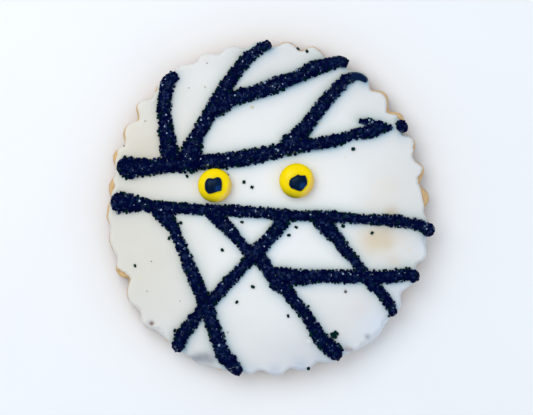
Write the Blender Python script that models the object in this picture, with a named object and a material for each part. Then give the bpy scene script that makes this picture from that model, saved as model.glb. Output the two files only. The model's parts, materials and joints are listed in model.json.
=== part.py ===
"""Iced sugar cookie: a round fluted biscuit, white icing crossed by sugared black bands, and two candy eyes.

The biscuit lies on its flat base. +Z is up, +Y is the top of the decoration, and the origin is the middle of
the base. Sizes below are in millimetres and degrees; mesh_object() turns them into metres.
"""

import math
import random

import bmesh
import bpy
from mathutils import Vector

MM = 0.001
GAP = 0.3
CUT_GAP = GAP - 0.05
SHARP_ABOVE = 35.0

# Biscuit
BISCUIT_RADIUS = 44.7
BISCUIT_HEIGHT = 7.0
FLUTES = 36
FLUTE_BREADTH = 0.11
STEPS_PER_FLUTE = 5
# How the hand-cut biscuit runs out of true: angle, turn of the flutes in degrees, change of the radius, depth
# of the flutes, and how far they lean
OUT_OF_TRUE = (
    (0, 4.2, -0.9, 0.77, -0.1), (15, 4.2, -1.4, 1.16, 0.1), (20, 4.2, -1.4, 0.79, -0.2),
    (30, 4.3, -0.8, 1.24, 0.1), (45, 4.2, -0.3, 1.02, 0.0), (60, 4.2, 0.5, 0.90, -0.1),
    (75, 3.2, 0.8, 0.84, 0.2), (90, 2.7, 0.6, 0.88, -0.2), (105, 2.6, 0.3, 0.53, 0.1),
    (120, 1.5, 0.6, 0.65, 0.2), (135, 0.7, -0.2, 0.71, 0.0), (143, 0.5, -0.1, 1.26, 0.1),
    (152, 0.8, -0.8, 0.96, 0.0), (161, 0.6, -0.9, 0.95, 0.0), (170, 1.6, -1.6, 0.67, 0.0),
    (180, 2.0, -1.1, 0.38, 0.2), (195, 2.1, -1.0, 0.43, -0.1), (204, 2.7, -0.8, 0.84, -0.1),
    (207, 2.6, -0.9, 1.11, 0.4), (210.5, 2.9, -0.3, 0.83, 0.0), (218, 3.3, 0.7, 0.69, 0.0),
    (225, 3.3, 0.8, 0.98, -0.1), (232, 3.3, -0.2, 0.94, -0.1), (240, 3.2, 0.4, 0.89, 0.0),
    (255, 3.1, 0.4, 0.88, 0.1), (264, 3.2, -0.1, 0.85, 0.2), (270, 3.5, 0.4, 0.67, 0.0),
    (278, 3.6, 0.2, 0.72, 0.1), (288, 3.4, 0.2, 0.62, 0.1), (300, 2.9, 0.4, 0.75, 0.0),
    (308, 2.6, 0.4, 0.84, 0.0), (315, 2.6, 0.0, 0.84, 0.1), (322, 2.8, 0.0, 0.78, 0.2),
    (330, 3.5, -0.7, 0.68, 0.2), (337, 4.1, 0.1, 0.97, -0.1), (345, 4.1, -0.1, 0.85, -0.1),
)
CROWN_WIDTH = 1.4
CROWN_DROP = 1.8
CROWN_ARC = math.pi / 2 * (CROWN_WIDTH + CROWN_DROP) / 2
# Where the rings lie on the rounded top edge, as shares of the way round it
CROWN_SHARES = (0.0, 0.5, 1.0)
FOOT_BEVEL = 0.6

# Icing
ICING_THICKNESS = 1.5
ICING_EDGE_ROLL = 2.2
ICING_EDGE_SHARE = 0.3
ICING_FLAT_FROM = 3.5
SIDE_THICKNESS = 0.6
UNDERSIDE_BACK = 0.3
# Rings of the icing's outer surface: each lies this share of the way round the biscuit's top edge, or this
# far back from the icing's own edge where that is further in.
ICING_RINGS = ((math.inf, 0.1), (math.inf, 0.8), (1.0, 1.4), (0.5, 2.0), (0.0, 2.6))
# Where the icing stops, all round: angle, distance past the biscuit's edge, share of the flutes it keeps
ICING_EDGE = (
    (0.4, -0.8, 0.0), (4.2, -1.1, 0.0), (8.6, -1.3, 0.0), (10.2, -0.6, 1.0), (11.8, -1.5, 1.0),
    (13.4, -0.8, 1.0), (14.8, -0.4, 1.0), (17.0, -0.3, 1.0), (19.5, -0.05, 1.0), (21.5, -0.2, 1.0),
    (22.8, -0.8, 1.0), (24.4, -0.35, 1.0), (26.5, -0.1, 1.0), (31.0, -0.2, 1.0), (33.0, -0.9, 1.0),
    (34.7, -1.5, 1.0), (36.3, -1.0, 1.0), (38.2, -1.0, 1.0), (40.5, -0.45, 1.0), (47.5, -0.45, 1.0),
    (51.0, -0.1, 1.0), (66.0, 0.0, 1.0), (73.0, -0.35, 1.0), (84.0, -0.35, 1.0), (90.0, 0.0, 1.0),
    (130.0, 0.0, 1.0), (139.0, -0.05, 1.0), (141.4, -0.3, 1.0), (143.0, -0.8, 1.0), (145.0, -0.5, 1.0),
    (146.6, 0.0, 1.0), (149.0, -0.15, 1.0), (151.4, -0.55, 1.0), (153.2, -0.75, 1.0), (155.2, -0.1, 1.0),
    (157.5, -0.05, 0.8), (160.4, -0.5, 0.15), (163.6, -0.4, 0.4), (166.5, -0.05, 0.9), (168.5, -0.3, 0.5),
    (171.8, -1.1, 0.0), (174.6, -0.6, 0.2), (176.5, -0.1, 0.9), (180.0, -0.35, 1.0), (183.5, -0.35, 0.9),
    (187.0, 0.0, 1.0), (193.0, -0.25, 1.0), (199.0, 0.0, 1.0), (201.0, -0.3, 0.9), (204.5, -0.95, 0.5),
    (207.0, -0.4, 0.9), (211.5, -0.25, 1.0), (215.0, -0.1, 1.0), (220.0, 0.0, 1.0), (226.0, 0.05, 0.6),
    (230.0, 0.3, 0.0), (233.5, 0.65, 0.0), (237.0, 1.0, 0.0), (241.0, 0.5, 0.0), (246.0, 1.3, 0.0),
    (251.0, 0.6, 0.1), (254.5, 0.35, 0.2), (261.0, 0.15, 0.8), (266.0, 0.0, 1.0), (289.0, 0.0, 1.0),
    (294.0, 0.5, 0.1), (299.0, 0.3, 0.0), (303.0, 0.8, 0.0), (308.0, 1.35, 0.0), (312.0, 1.35, 0.0),
    (316.0, 0.7, 0.0), (318.5, 0.25, 0.0), (322.0, 0.7, 0.1), (326.0, 0.05, 0.95), (345.0, 0.0, 1.0),
    (357.0, -0.2, 1.0),
)
HANG_PER_MM = 2.4

# Bands of sugared black icing: x, y and half the width, along each one
BANDS = {
    "brow": (
        (-38.6, 11.5, 2.95), (-36.5, 11.4, 2.8), (-32.0, 11.45, 2.4), (-27.0, 12.1, 2.05),
        (-22.0, 12.45, 2.1), (-17.0, 13.05, 2.0), (-11.5, 13.2, 2.0), (-5.0, 14.3, 2.15), (1.0, 15.5, 1.85),
        (8.5, 17.4, 2.05), (14.0, 17.9, 1.6), (18.5, 18.7, 1.75), (23.0, 20.2, 1.3), (28.0, 21.4, 1.85),
        (31.5, 22.2, 1.5), (34.0, 22.4, 0.65),
    ),
    "brow_overrun": ((25.6, 24.2, 0.55), (27.5, 23.7, 1.1), (30.0, 23.3, 1.15), (32.6, 22.6, 0.9)),
    "brow_tip": ((36.8, 23.3, 1.4), (37.3, 22.5, 1.5)),
    "temple": (
        (-25.9, 35.9, 1.6), (-27.2, 34.2, 1.8), (-27.95, 31.0, 1.85), (-28.3, 27.0, 1.85),
        (-27.9, 23.0, 1.95), (-27.5, 19.0, 2.3), (-26.4, 14.5, 2.6),
    ),
    "crown": (
        (-0.1, 45.0, 1.55), (-2.5, 43.9, 1.5), (-5.1, 41.8, 1.7), (-7.4, 39.1, 1.6), (-9.85, 35.95, 1.65),
        (-12.5, 32.0, 1.9), (-14.6, 28.1, 2.0), (-16.8, 24.4, 1.9), (-18.8, 20.9, 1.95), (-20.1, 18.0, 2.4),
        (-20.9, 15.0, 3.2), (-21.2, 13.2, 3.3),
    ),
    "crown_branch": (
        (-14.0, 27.6, 2.3), (-10.8, 29.9, 2.55), (-6.6, 31.2, 1.95), (-2.45, 32.3, 1.9), (1.5, 33.8, 2.15),
        (5.5, 35.25, 1.85), (9.0, 36.6, 1.75), (13.0, 38.65, 1.8), (16.5, 39.75, 1.6), (19.5, 40.4, 1.5),
        (21.3, 39.9, 1.35),
    ),
    "brow_branch": (
        (6.2, 17.8, 2.6), (9.5, 21.2, 2.15), (12.6, 25.15, 1.8), (15.1, 28.45, 1.82), (17.6, 31.3, 1.75),
        (20.1, 33.85, 1.68), (22.45, 36.0, 1.5), (25.0, 36.5, 1.2), (27.0, 35.6, 0.9),
    ),
    "cheek": (
        (-40.2, 1.9, 2.85), (-37.6, 1.55, 2.4), (-34.8, 1.3, 1.85), (-31.5, 0.8, 1.65), (-27.0, 0.35, 1.55),
        (-21.5, 0.1, 1.45), (-17.0, -0.3, 1.45), (-11.5, -0.45, 1.5), (-4.5, -0.8, 1.5), (2.5, -1.35, 1.45),
        (9.0, -1.85, 1.4), (16.0, -2.0, 1.6), (23.0, -2.55, 1.3), (29.5, -2.95, 1.35), (34.5, -3.15, 1.65),
        (38.8, -3.85, 1.4), (42.1, -4.5, 1.6), (44.3, -5.4, 2.1),
    ),
    "jaw_left": (
        (-30.6, 0.2, 1.8), (-28.2, -2.1, 2.1), (-25.9, -4.8, 1.65), (-24.6, -8.0, 1.4),
        (-22.9, -11.7, 1.45), (-21.4, -15.65, 1.8), (-19.65, -19.85, 1.85), (-18.0, -23.4, 1.75),
        (-16.8, -27.0, 2.2), (-15.3, -31.05, 1.85), (-13.65, -35.55, 1.85), (-12.1, -39.6, 2.05),
        (-9.4, -43.2, 1.95), (-8.3, -44.3, 1.75),
    ),
    "jaw_cross": (
        (4.5, -2.2, 2.3), (2.9, -5.15, 1.95), (0.2, -8.5, 1.6), (-2.5, -11.4, 2.1), (-5.2, -14.3, 1.5),
        (-7.9, -17.3, 1.45), (-11.0, -20.4, 1.6), (-13.8, -23.6, 1.6), (-16.5, -26.4, 1.9),
        (-19.1, -29.3, 1.65), (-21.35, -32.0, 1.75), (-23.3, -34.9, 1.85), (-24.3, -37.2, 1.8),
    ),
    "nose": (
        (-14.5, -1.7, 1.95), (-12.0, -4.1, 1.85), (-9.4, -6.7, 1.65), (-7.15, -9.35, 1.35),
        (-4.6, -11.9, 1.8), (-1.7, -14.1, 1.95), (0.5, -16.9, 1.6), (2.5, -19.8, 2.1), (5.2, -22.3, 1.85),
        (7.6, -25.3, 1.55), (10.1, -28.3, 1.55), (12.3, -31.5, 1.6), (14.2, -34.85, 1.9),
        (16.4, -37.3, 2.05), (18.45, -39.5, 2.25), (19.1, -40.5, 1.95),
    ),
    "mouth": (
        (0.6, -17.6, 1.6), (4.7, -18.3, 2.2), (9.1, -18.8, 2.15), (14.6, -18.4, 1.7), (20.1, -18.6, 1.75),
        (25.6, -18.6, 1.75), (31.1, -18.7, 1.75), (35.2, -18.4, 1.7), (38.8, -18.0, 1.6),
        (40.0, -18.2, 1.8),
    ),
    "jaw_right": (
        (15.2, -3.2, 2.5), (16.9, -5.5, 2.2), (19.45, -8.3, 1.6), (21.6, -11.4, 1.55), (24.1, -14.2, 1.4),
        (26.0, -17.1, 1.6), (28.7, -20.4, 1.6), (31.4, -23.1, 1.35), (33.4, -25.9, 1.4),
        (34.7, -28.3, 1.35),
    ),
}
BAND_STEP = 1.7
BAND_SIDES = 8
BAND_RISE = 0.75
BAND_BASE_RISE = 0.35
BAND_SINK = 0.9
BAND_SINK_AT_RIM = 1.5
BAND_END_SHARES = (0.6, 0.92)
BUMP = 0.3
BUMP_ACROSS = 0.8
ROUTE_STEPS = 20

# Sugar crystals that lie loose on the icing, as x and y
CRYSTAL_EDGE = 0.85
CRYSTAL_LENGTHS = (0.9, 1.35)
CRYSTAL_TILT = 0.25
CRYSTAL_SPOTS = (
    (-22.0, 9.0), (-11.0, 9.6), (-6.3, 7.4), (-4.1, 6.0), (-23.7, -3.8), (-6.9, -3.6), (-12.3, -11.3),
    (-36.3, -15.6), (-26.9, -8.0), (8.0, -5.0), (6.0, -7.2), (-3.9, -21.4), (-8.3, -25.6), (5.8, -29.4),
    (11.0, 43.4), (8.5, 44.0), (20.9, -4.7), (28.9, -6.6), (23.7, 16.5), (11.3, -26.8), (-25.4, -33.4),
    (17.4, -33.2), (18.5, -33.6), (17.9, -34.4), (18.9, -34.6), (18.3, -35.4), (19.3, -35.9), (11.3, -43.6),
    (33.5, -29.4), (21.6, -22.7),
)

# Candy eyes: centre and radius
CANDY_HALF_HEIGHT = 2.45
CANDY_SINK = 0.5
CANDY_FULLNESS = 2.3
CANDY_LAST_RING = 84.0
CANDY_SEGMENTS = 28
CANDY_RINGS = 8
CANDIES = {"left": (-14.35, 6.45, 4.67), "right": (8.15, 7.75, 4.82)}
# Outlines of the pupils, measured from the middle of each candy
PUPILS = {
    "left": (
        (-2.75, -0.08), (-2.64, 0.91), (-2.15, 1.76), (-1.40, 2.06), (-0.41, 1.93), (0.44, 2.26),
        (1.18, 2.26), (1.79, 1.76), (2.04, 0.66), (1.98, -0.58), (1.79, -1.43), (0.94, -1.68),
        (-0.06, -2.01), (-1.40, -2.34), (-2.01, -2.06), (-2.64, -1.18),
    ),
    "right": (
        (-2.13, -1.05), (-2.02, -0.06), (-1.53, 0.69), (-0.67, 1.18), (-0.04, 1.54), (0.40, 1.79),
        (0.81, 1.54), (1.42, 1.46), (2.27, 1.49), (2.65, 0.94), (2.93, -0.06), (2.85, -1.05), (2.41, -1.65),
        (1.80, -2.39), (1.06, -2.89), (0.18, -2.75), (-0.67, -2.39), (-1.42, -2.15), (-1.88, -1.65),
    ),
}
PUPIL_HEIGHT = 1.0
# Rings of a pupil: the underside's sizes, then the outer surface's sizes and heights, as shares
PUPIL_UNDER = (0.3, 0.92)
PUPIL_OVER = ((1.0, 0.3), (0.8, 0.75), (0.3, 1.0))

SEED = 31


def smooth_between(stops, angle):
    """The values at this angle, eased between the stops round the circle."""
    for near, far in zip(stops, stops[1:] + ((stops[0][0] + 360,) + stops[0][1:],)):
        if near[0] <= angle % 360 < far[0]:
            share = (angle % 360 - near[0]) / (far[0] - near[0])
            eased = share * share * (3 - 2 * share)
            return [a + (b - a) * eased for a, b in zip(near[1:], far[1:])]
    return list(stops[0][1:])


def outline(angle):
    """The biscuit's mean radius at this angle, and how far a flute stands out from it or in."""
    turned, change, depth, lean = smooth_between(OUT_OF_TRUE, angle)
    turn = math.radians(FLUTES * (angle - turned))
    wave = math.cos(turn) - FLUTE_BREADTH * math.cos(2 * turn) + lean * math.sin(2 * turn)
    return BISCUIT_RADIUS + change, depth * wave


def biscuit_edge(angle):
    """The biscuit's radius at this angle."""
    radius, flute = outline(angle)
    return radius + flute


def crown_point(angle, path, lift, fill=0.0):
    """Radius and height on the biscuit's top edge: path runs outwards from where the edge starts to round,
    then down the side. lift is the distance above the biscuit, and fill widens the side."""
    edge = biscuit_edge(angle)
    shoulder = edge - CROWN_WIDTH
    if path <= 0:
        return shoulder + path, BISCUIT_HEIGHT + lift
    turn = min(path / CROWN_ARC, 1.0) * math.pi / 2
    radius = shoulder + (CROWN_WIDTH + lift + fill) * math.sin(turn)
    height = BISCUIT_HEIGHT - CROWN_DROP + (CROWN_DROP + lift) * math.cos(turn)
    return radius, height - max(path - CROWN_ARC, 0.0)


def icing_reach(angle):
    """How far the icing runs along the crown at this angle, and how much it fills the flutes there."""
    past, kept = smooth_between(ICING_EDGE, angle)
    beyond = past - (1 - kept) * outline(angle)[1]
    if beyond >= 0:
        return CROWN_ARC + HANG_PER_MM * min(beyond, max(past, 0.0)), max(beyond - SIDE_THICKNESS, 0.0)
    if beyond > -CROWN_WIDTH:
        return CROWN_ARC * math.asin(1 + beyond / CROWN_WIDTH) / (math.pi / 2), 0.0
    return beyond + CROWN_WIDTH, 0.0


def icing_top(x, y):
    """Height of the icing's upper surface, carried on a little past the rim."""
    angle = math.degrees(math.atan2(y, x))
    outwards = math.hypot(x, y) - (biscuit_edge(angle) - CROWN_WIDTH)
    lift = GAP + ICING_THICKNESS
    if outwards <= 0:
        return BISCUIT_HEIGHT + lift
    share = min(outwards / (CROWN_WIDTH + lift), 0.95)
    return BISCUIT_HEIGHT - CROWN_DROP + (CROWN_DROP + lift) * math.sqrt(1 - share * share)


def mesh_object(name, points, faces, material):
    """An object with this mesh, given in millimetres, with its faces pointing out."""
    mesh = bpy.data.meshes.new(name)
    mesh.from_pydata([Vector(p) * MM for p in points], [], faces)
    bm = bmesh.new()
    bm.from_mesh(mesh)
    bmesh.ops.recalc_face_normals(bm, faces=bm.faces)
    bm.to_mesh(mesh)
    bm.free()
    mesh.shade_smooth()
    mesh.set_sharp_from_angle(angle=math.radians(SHARP_ABOVE))
    mesh.materials.append(material)
    obj = bpy.data.objects.new(name, mesh)
    bpy.context.scene.collection.objects.link(obj)
    return obj


def ringed_solid(name, rings, material):
    """A closed solid from rings of equal count, each joined to the next, with both end rings capped."""
    count = len(rings[0])
    points = [p for ring in rings for p in ring]
    faces = []
    for r in range(len(rings) - 1):
        for s in range(count):
            a, b = r * count + s, r * count + (s + 1) % count
            faces.append((a, b, b + count, a + count))
    faces.append(tuple(range(count)))
    faces.append(tuple(range(len(points) - count, len(points))))
    return mesh_object(name, points, faces, material)


def around(angle, radius, height):
    turn = math.radians(angle)
    return radius * math.cos(turn), radius * math.sin(turn), height


def food_material(name, colour, roughness):
    """A Principled material of one colour."""
    material = bpy.data.materials.new(name)
    material.use_nodes = True
    shader = material.node_tree.nodes["Principled BSDF"]
    shader.inputs["Base Color"].default_value = (*colour, 1.0)
    shader.inputs["Roughness"].default_value = roughness
    shader.inputs["Metallic"].default_value = 0.0
    material.diffuse_color = (*colour, 1.0)
    return material


def rim_angles():
    steps = FLUTES * STEPS_PER_FLUTE
    return [360.0 * s / steps for s in range(steps)]


def biscuit_solid(name, material, grown=0.0):
    """The fluted biscuit. Grown, it is the space that the icing keeps clear."""
    angles = rim_angles()
    rings = [
        [around(a, biscuit_edge(a) - FOOT_BEVEL + grown, -grown) for a in angles],
        [around(a, biscuit_edge(a) + grown, FOOT_BEVEL) for a in angles],
    ]
    for share in reversed(CROWN_SHARES):
        rings.append([around(a, *crown_point(a, share * CROWN_ARC, grown)) for a in angles])
    return ringed_solid(name, rings, material)


def icing_lift(path, reach):
    """How far the icing stands above the biscuit: thinner down the side, rounded at its edge."""
    down_side = min(max(path / (CROWN_WIDTH + CROWN_DROP), 0.0), 1.0)
    thickness = ICING_THICKNESS + (SIDE_THICKNESS - ICING_THICKNESS) * down_side
    inwards = min(max((reach - path) / ICING_EDGE_ROLL, 0.0), 1.0)
    rounded = ICING_EDGE_SHARE + (1 - ICING_EDGE_SHARE) * math.sqrt(1 - (1 - inwards) ** 2)
    return GAP + thickness * rounded


def icing_solid(name, material):
    """The sheet of icing, rounded along its edge, with no toppings on it."""
    rows = []
    for angle in rim_angles():
        reach, fill = icing_reach(angle)
        under = [min(share * CROWN_ARC, reach - UNDERSIDE_BACK) for share in CROWN_SHARES]
        over = [min(share * CROWN_ARC, reach - back) for share, back in ICING_RINGS]
        row = [crown_point(angle, path, GAP) for path in under]
        row.append(crown_point(angle, reach, GAP + ICING_EDGE_SHARE * SIDE_THICKNESS, fill))
        row += [crown_point(angle, path, icing_lift(path, reach), fill) for path in over]
        row.append(crown_point(angle, -ICING_FLAT_FROM, GAP + ICING_THICKNESS))
        rows.append([around(angle, *point) for point in row])
    return ringed_solid(name, list(zip(*rows)), material)


def smooth_route(stops, step):
    """Evenly spaced samples of a Catmull-Rom curve through these stops; every value is carried along."""
    padded = [stops[0], *stops, stops[-1]]
    dense = []
    for a, b, c, d in zip(padded, padded[1:], padded[2:], padded[3:]):
        for i in range(ROUTE_STEPS):
            t = i / ROUTE_STEPS
            dense.append([
                q + ((r - p) * t + (2 * p - 5 * q + 4 * r - s) * t * t + (3 * q - p - 3 * r + s) * t ** 3) / 2
                for p, q, r, s in zip(a, b, c, d)
            ])
    dense.append(list(stops[-1]))
    lengths = [0.0]
    for a, b in zip(dense, dense[1:]):
        lengths.append(lengths[-1] + math.dist(a[:2], b[:2]))
    count = max(2, round(lengths[-1] / step))
    samples, i = [], 0
    for n in range(count + 1):
        target = lengths[-1] * n / count
        while i < len(lengths) - 2 and lengths[i + 1] < target:
            i += 1
        share = (target - lengths[i]) / max(lengths[i + 1] - lengths[i], 1e-9)
        samples.append([a + (b - a) * share for a, b in zip(dense[i], dense[i + 1])])
    return samples


def band_solid(name, stops, material, draw):
    """One piped band: a low dome in section, lumpy with sugar, round-ended, draped over the icing's rim."""
    samples = smooth_route(stops, BAND_STEP)
    neighbours = zip([samples[0], *samples], [*samples[1:], samples[-1]])
    along = [Vector(b[:2]) - Vector(a[:2]) for a, b in neighbours]
    stations = [(samples[0], along[0], -share) for share in reversed(BAND_END_SHARES)]
    stations += [(sample, direction, 0.0) for sample, direction in zip(samples, along)]
    stations += [(samples[-1], along[-1], share) for share in BAND_END_SHARES]
    rings = []
    for (x, y, half), direction, beyond in stations:
        direction = direction.normalized()
        side = Vector((-direction.y, direction.x))
        centre = Vector((x, y)) + direction * beyond * (half - BUMP)
        narrowed = math.sqrt(1 - beyond * beyond)
        rise = (BAND_BASE_RISE + BAND_RISE * half) * narrowed
        ring = []
        for k in range(BAND_SIDES):
            turn = 2 * math.pi * (k + 0.5) / BAND_SIDES
            bump = draw.uniform(-BUMP, BUMP)
            across = centre + side * math.cos(turn) * ((half - BUMP / 2) * narrowed + BUMP_ACROSS * bump)
            surface = icing_top(*across)
            at_rim = across.length > BISCUIT_RADIUS - CROWN_WIDTH
            sink = BAND_SINK_AT_RIM if at_rim else BAND_SINK
            height = surface + math.sin(turn) * (rise + bump) if math.sin(turn) > 0 else surface - sink
            ring.append((across.x, across.y, height))
        rings.append(ring)
    return ringed_solid(name, rings, material)


def crystal_solid(name, spot, material, draw):
    """A sugar crystal: a small block, half turned, standing in the icing."""
    x, y = spot
    half = CRYSTAL_EDGE / 2
    turn = draw.uniform(0, math.pi / 2)
    length = half * draw.uniform(*CRYSTAL_LENGTHS)
    rings = []
    for height in (-half, half):
        ring = []
        for u, v in ((1, 1), (-1, 1), (-1, -1), (1, -1)):
            px = x + u * length * math.cos(turn) - v * half * math.sin(turn)
            py = y + u * length * math.sin(turn) + v * half * math.cos(turn)
            ring.append((px, py, icing_top(x, y) + height + CRYSTAL_TILT * half * u))
        rings.append(ring)
    return ringed_solid(name, rings, material)


def candy_centre(side):
    x, y, _ = CANDIES[side]
    return x, y, BISCUIT_HEIGHT + GAP + ICING_THICKNESS - CANDY_SINK + CANDY_HALF_HEIGHT


def candy_solid(name, side, material, grown=0.0):
    """A lens-shaped candy: a flattened ball with a full edge."""
    x, y, z = candy_centre(side)
    radius, half = CANDIES[side][2] + grown, CANDY_HALF_HEIGHT + grown
    rings = []
    for r in range(CANDY_RINGS):
        turn = math.radians(CANDY_LAST_RING * (2 * r / (CANDY_RINGS - 1) - 1))
        out = radius * abs(math.cos(turn)) ** (2 / CANDY_FULLNESS)
        up = math.copysign(half * abs(math.sin(turn)) ** (2 / CANDY_FULLNESS), turn)
        ring = [around(360 * s / CANDY_SEGMENTS, out, up) for s in range(CANDY_SEGMENTS)]
        rings.append([(x + px, y + py, z + pz) for px, py, pz in ring])
    return ringed_solid(name, rings, material)


def candy_height(side, x, y):
    """Height of the candy's upper face over the point x, y measured from its centre."""
    radius = CANDIES[side][2]
    share = min(math.hypot(x, y) / radius, 0.98) ** CANDY_FULLNESS
    return candy_centre(side)[2] + CANDY_HALF_HEIGHT * (1 - share) ** (1 / CANDY_FULLNESS)


def pupil_solid(name, side, material):
    """A drop of black icing that follows the candy's curve, with its own uneven outline."""
    middle = Vector([sum(values) / len(PUPILS[side]) for values in zip(*PUPILS[side])])
    centre = candy_centre(side)

    def ring(scale, lift):
        points = []
        for point in PUPILS[side]:
            x, y = middle + (Vector(point) - middle) * scale
            points.append((centre[0] + x, centre[1] + y, candy_height(side, x, y) + lift))
        return points

    under = [ring(scale, GAP) for scale in PUPIL_UNDER]
    over = [ring(scale, GAP + PUPIL_HEIGHT * lift) for scale, lift in PUPIL_OVER]
    return ringed_solid(name, under + over, material)


def keep_largest_shell(obj):
    """Drops the scraps and fills the hollows that a Boolean leaves: every shell but the largest goes."""
    bm = bmesh.new()
    bm.from_mesh(obj.data)
    waiting = set(bm.verts)
    shells = []
    while waiting:
        shell, front = set(), [waiting.pop()]
        while front:
            vert = front.pop()
            shell.add(vert)
            near = {edge.other_vert(vert) for edge in vert.link_edges} & waiting
            waiting -= near
            front.extend(near)
        shells.append(shell)
    largest = max(shells, key=len)
    bmesh.ops.delete(bm, geom=[vert for vert in bm.verts if vert not in largest], context="VERTS")
    bm.to_mesh(obj.data)
    bm.free()


def boolean(target, operation, operand):
    """Joins a collection's solids to the target, or cuts one solid from it, and applies the result."""
    step = target.modifiers.new(operation.title(), "BOOLEAN")
    step.operation = operation
    step.solver = "MANIFOLD"
    if isinstance(operand, bpy.types.Collection):
        step.operand_type = "COLLECTION"
        step.collection = operand
    else:
        step.object = operand
    bpy.context.view_layer.update()
    graph = bpy.context.evaluated_depsgraph_get()
    finished = bpy.data.meshes.new_from_object(target.evaluated_get(graph))
    target.modifiers.clear()
    target.data = finished
    keep_largest_shell(target)


def clear_scene():
    for obj in list(bpy.data.objects):
        bpy.data.objects.remove(obj)


def main():
    clear_scene()
    draw = random.Random(SEED)
    baked = food_material("baked_biscuit", (0.70, 0.47, 0.24), 0.85)
    white = food_material("white_icing", (0.86, 0.86, 0.84), 0.35)
    yellow = food_material("candy_shell", (0.93, 0.72, 0.02), 0.2)
    black = food_material("black_icing", (0.008, 0.012, 0.03), 0.3)

    biscuit_solid("biscuit", baked)
    for side in CANDIES:
        candy_solid(f"candy_{side}", side, yellow)
        pupil_solid(f"pupil_{side}", side, black)

    icing = icing_solid("icing", white)
    toppings = bpy.data.collections.new("toppings")
    bpy.context.scene.collection.children.link(toppings)
    solids = [band_solid(name, stops, white, draw) for name, stops in BANDS.items()]
    solids += [crystal_solid(f"crystal_{i}", spot, white, draw) for i, spot in enumerate(CRYSTAL_SPOTS)]
    for solid in solids:
        bpy.context.scene.collection.objects.unlink(solid)
        toppings.objects.link(solid)
    boolean(icing, "UNION", toppings)

    cutters = [biscuit_solid("biscuit_space", baked, grown=CUT_GAP)]
    cutters += [candy_solid(f"candy_space_{side}", side, yellow, grown=GAP) for side in CANDIES]
    for cutter in cutters:
        boolean(icing, "DIFFERENCE", cutter)
    for helper in (*solids, *cutters):
        bpy.data.objects.remove(helper)
    bpy.data.collections.remove(toppings)


main()
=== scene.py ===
"""Looks of the iced sugar cookie: baked biscuit, flooded icing, sugared black bands and candy eyes.

Sizes in this script are in millimetres and degrees in the row frame, as in the part's own source, and
mesh_object() turns them into metres. +Z is up and +Y is the top of the decoration.
"""

import json
import math
from itertools import product

import bpy
import numpy as np
from mathutils import Matrix, Vector, noise

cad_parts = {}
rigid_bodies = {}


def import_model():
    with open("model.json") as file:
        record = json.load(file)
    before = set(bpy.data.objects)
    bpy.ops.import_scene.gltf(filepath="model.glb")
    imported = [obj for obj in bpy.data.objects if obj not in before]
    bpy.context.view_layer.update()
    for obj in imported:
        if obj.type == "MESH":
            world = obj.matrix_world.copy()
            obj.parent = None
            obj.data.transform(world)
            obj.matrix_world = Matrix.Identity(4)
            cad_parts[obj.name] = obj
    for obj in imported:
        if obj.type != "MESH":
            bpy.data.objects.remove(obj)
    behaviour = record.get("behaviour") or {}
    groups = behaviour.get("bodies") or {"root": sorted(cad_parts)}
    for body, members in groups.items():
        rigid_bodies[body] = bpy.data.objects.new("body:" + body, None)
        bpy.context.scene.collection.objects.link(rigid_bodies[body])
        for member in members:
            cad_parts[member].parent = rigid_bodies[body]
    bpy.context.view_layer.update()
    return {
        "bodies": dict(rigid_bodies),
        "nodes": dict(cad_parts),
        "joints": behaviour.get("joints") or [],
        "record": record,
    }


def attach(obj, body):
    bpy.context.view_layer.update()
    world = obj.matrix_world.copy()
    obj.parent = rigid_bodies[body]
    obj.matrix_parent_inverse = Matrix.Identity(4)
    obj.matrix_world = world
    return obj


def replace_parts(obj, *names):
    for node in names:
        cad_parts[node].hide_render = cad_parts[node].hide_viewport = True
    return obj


MM = 0.001
SEED = 31
UP = Vector((0, 0, 1))

# Photograph: millimetres for each pixel on the icing, and the middle of the frame
MM_PER_PIXEL = 0.275
FRAME_WIDTH = 533
CENTRE_PIXEL = (267.0, 209.0)
FRAME_MIDDLE = (266.5, 207.5)
LENS = 300.0
SENSOR = 36.0

# Biscuit
BISCUIT_RADIUS = 45.0
BISCUIT_HEIGHT = 7.0
FLUTES = 36
FLUTE_BREADTH = 0.11
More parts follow.
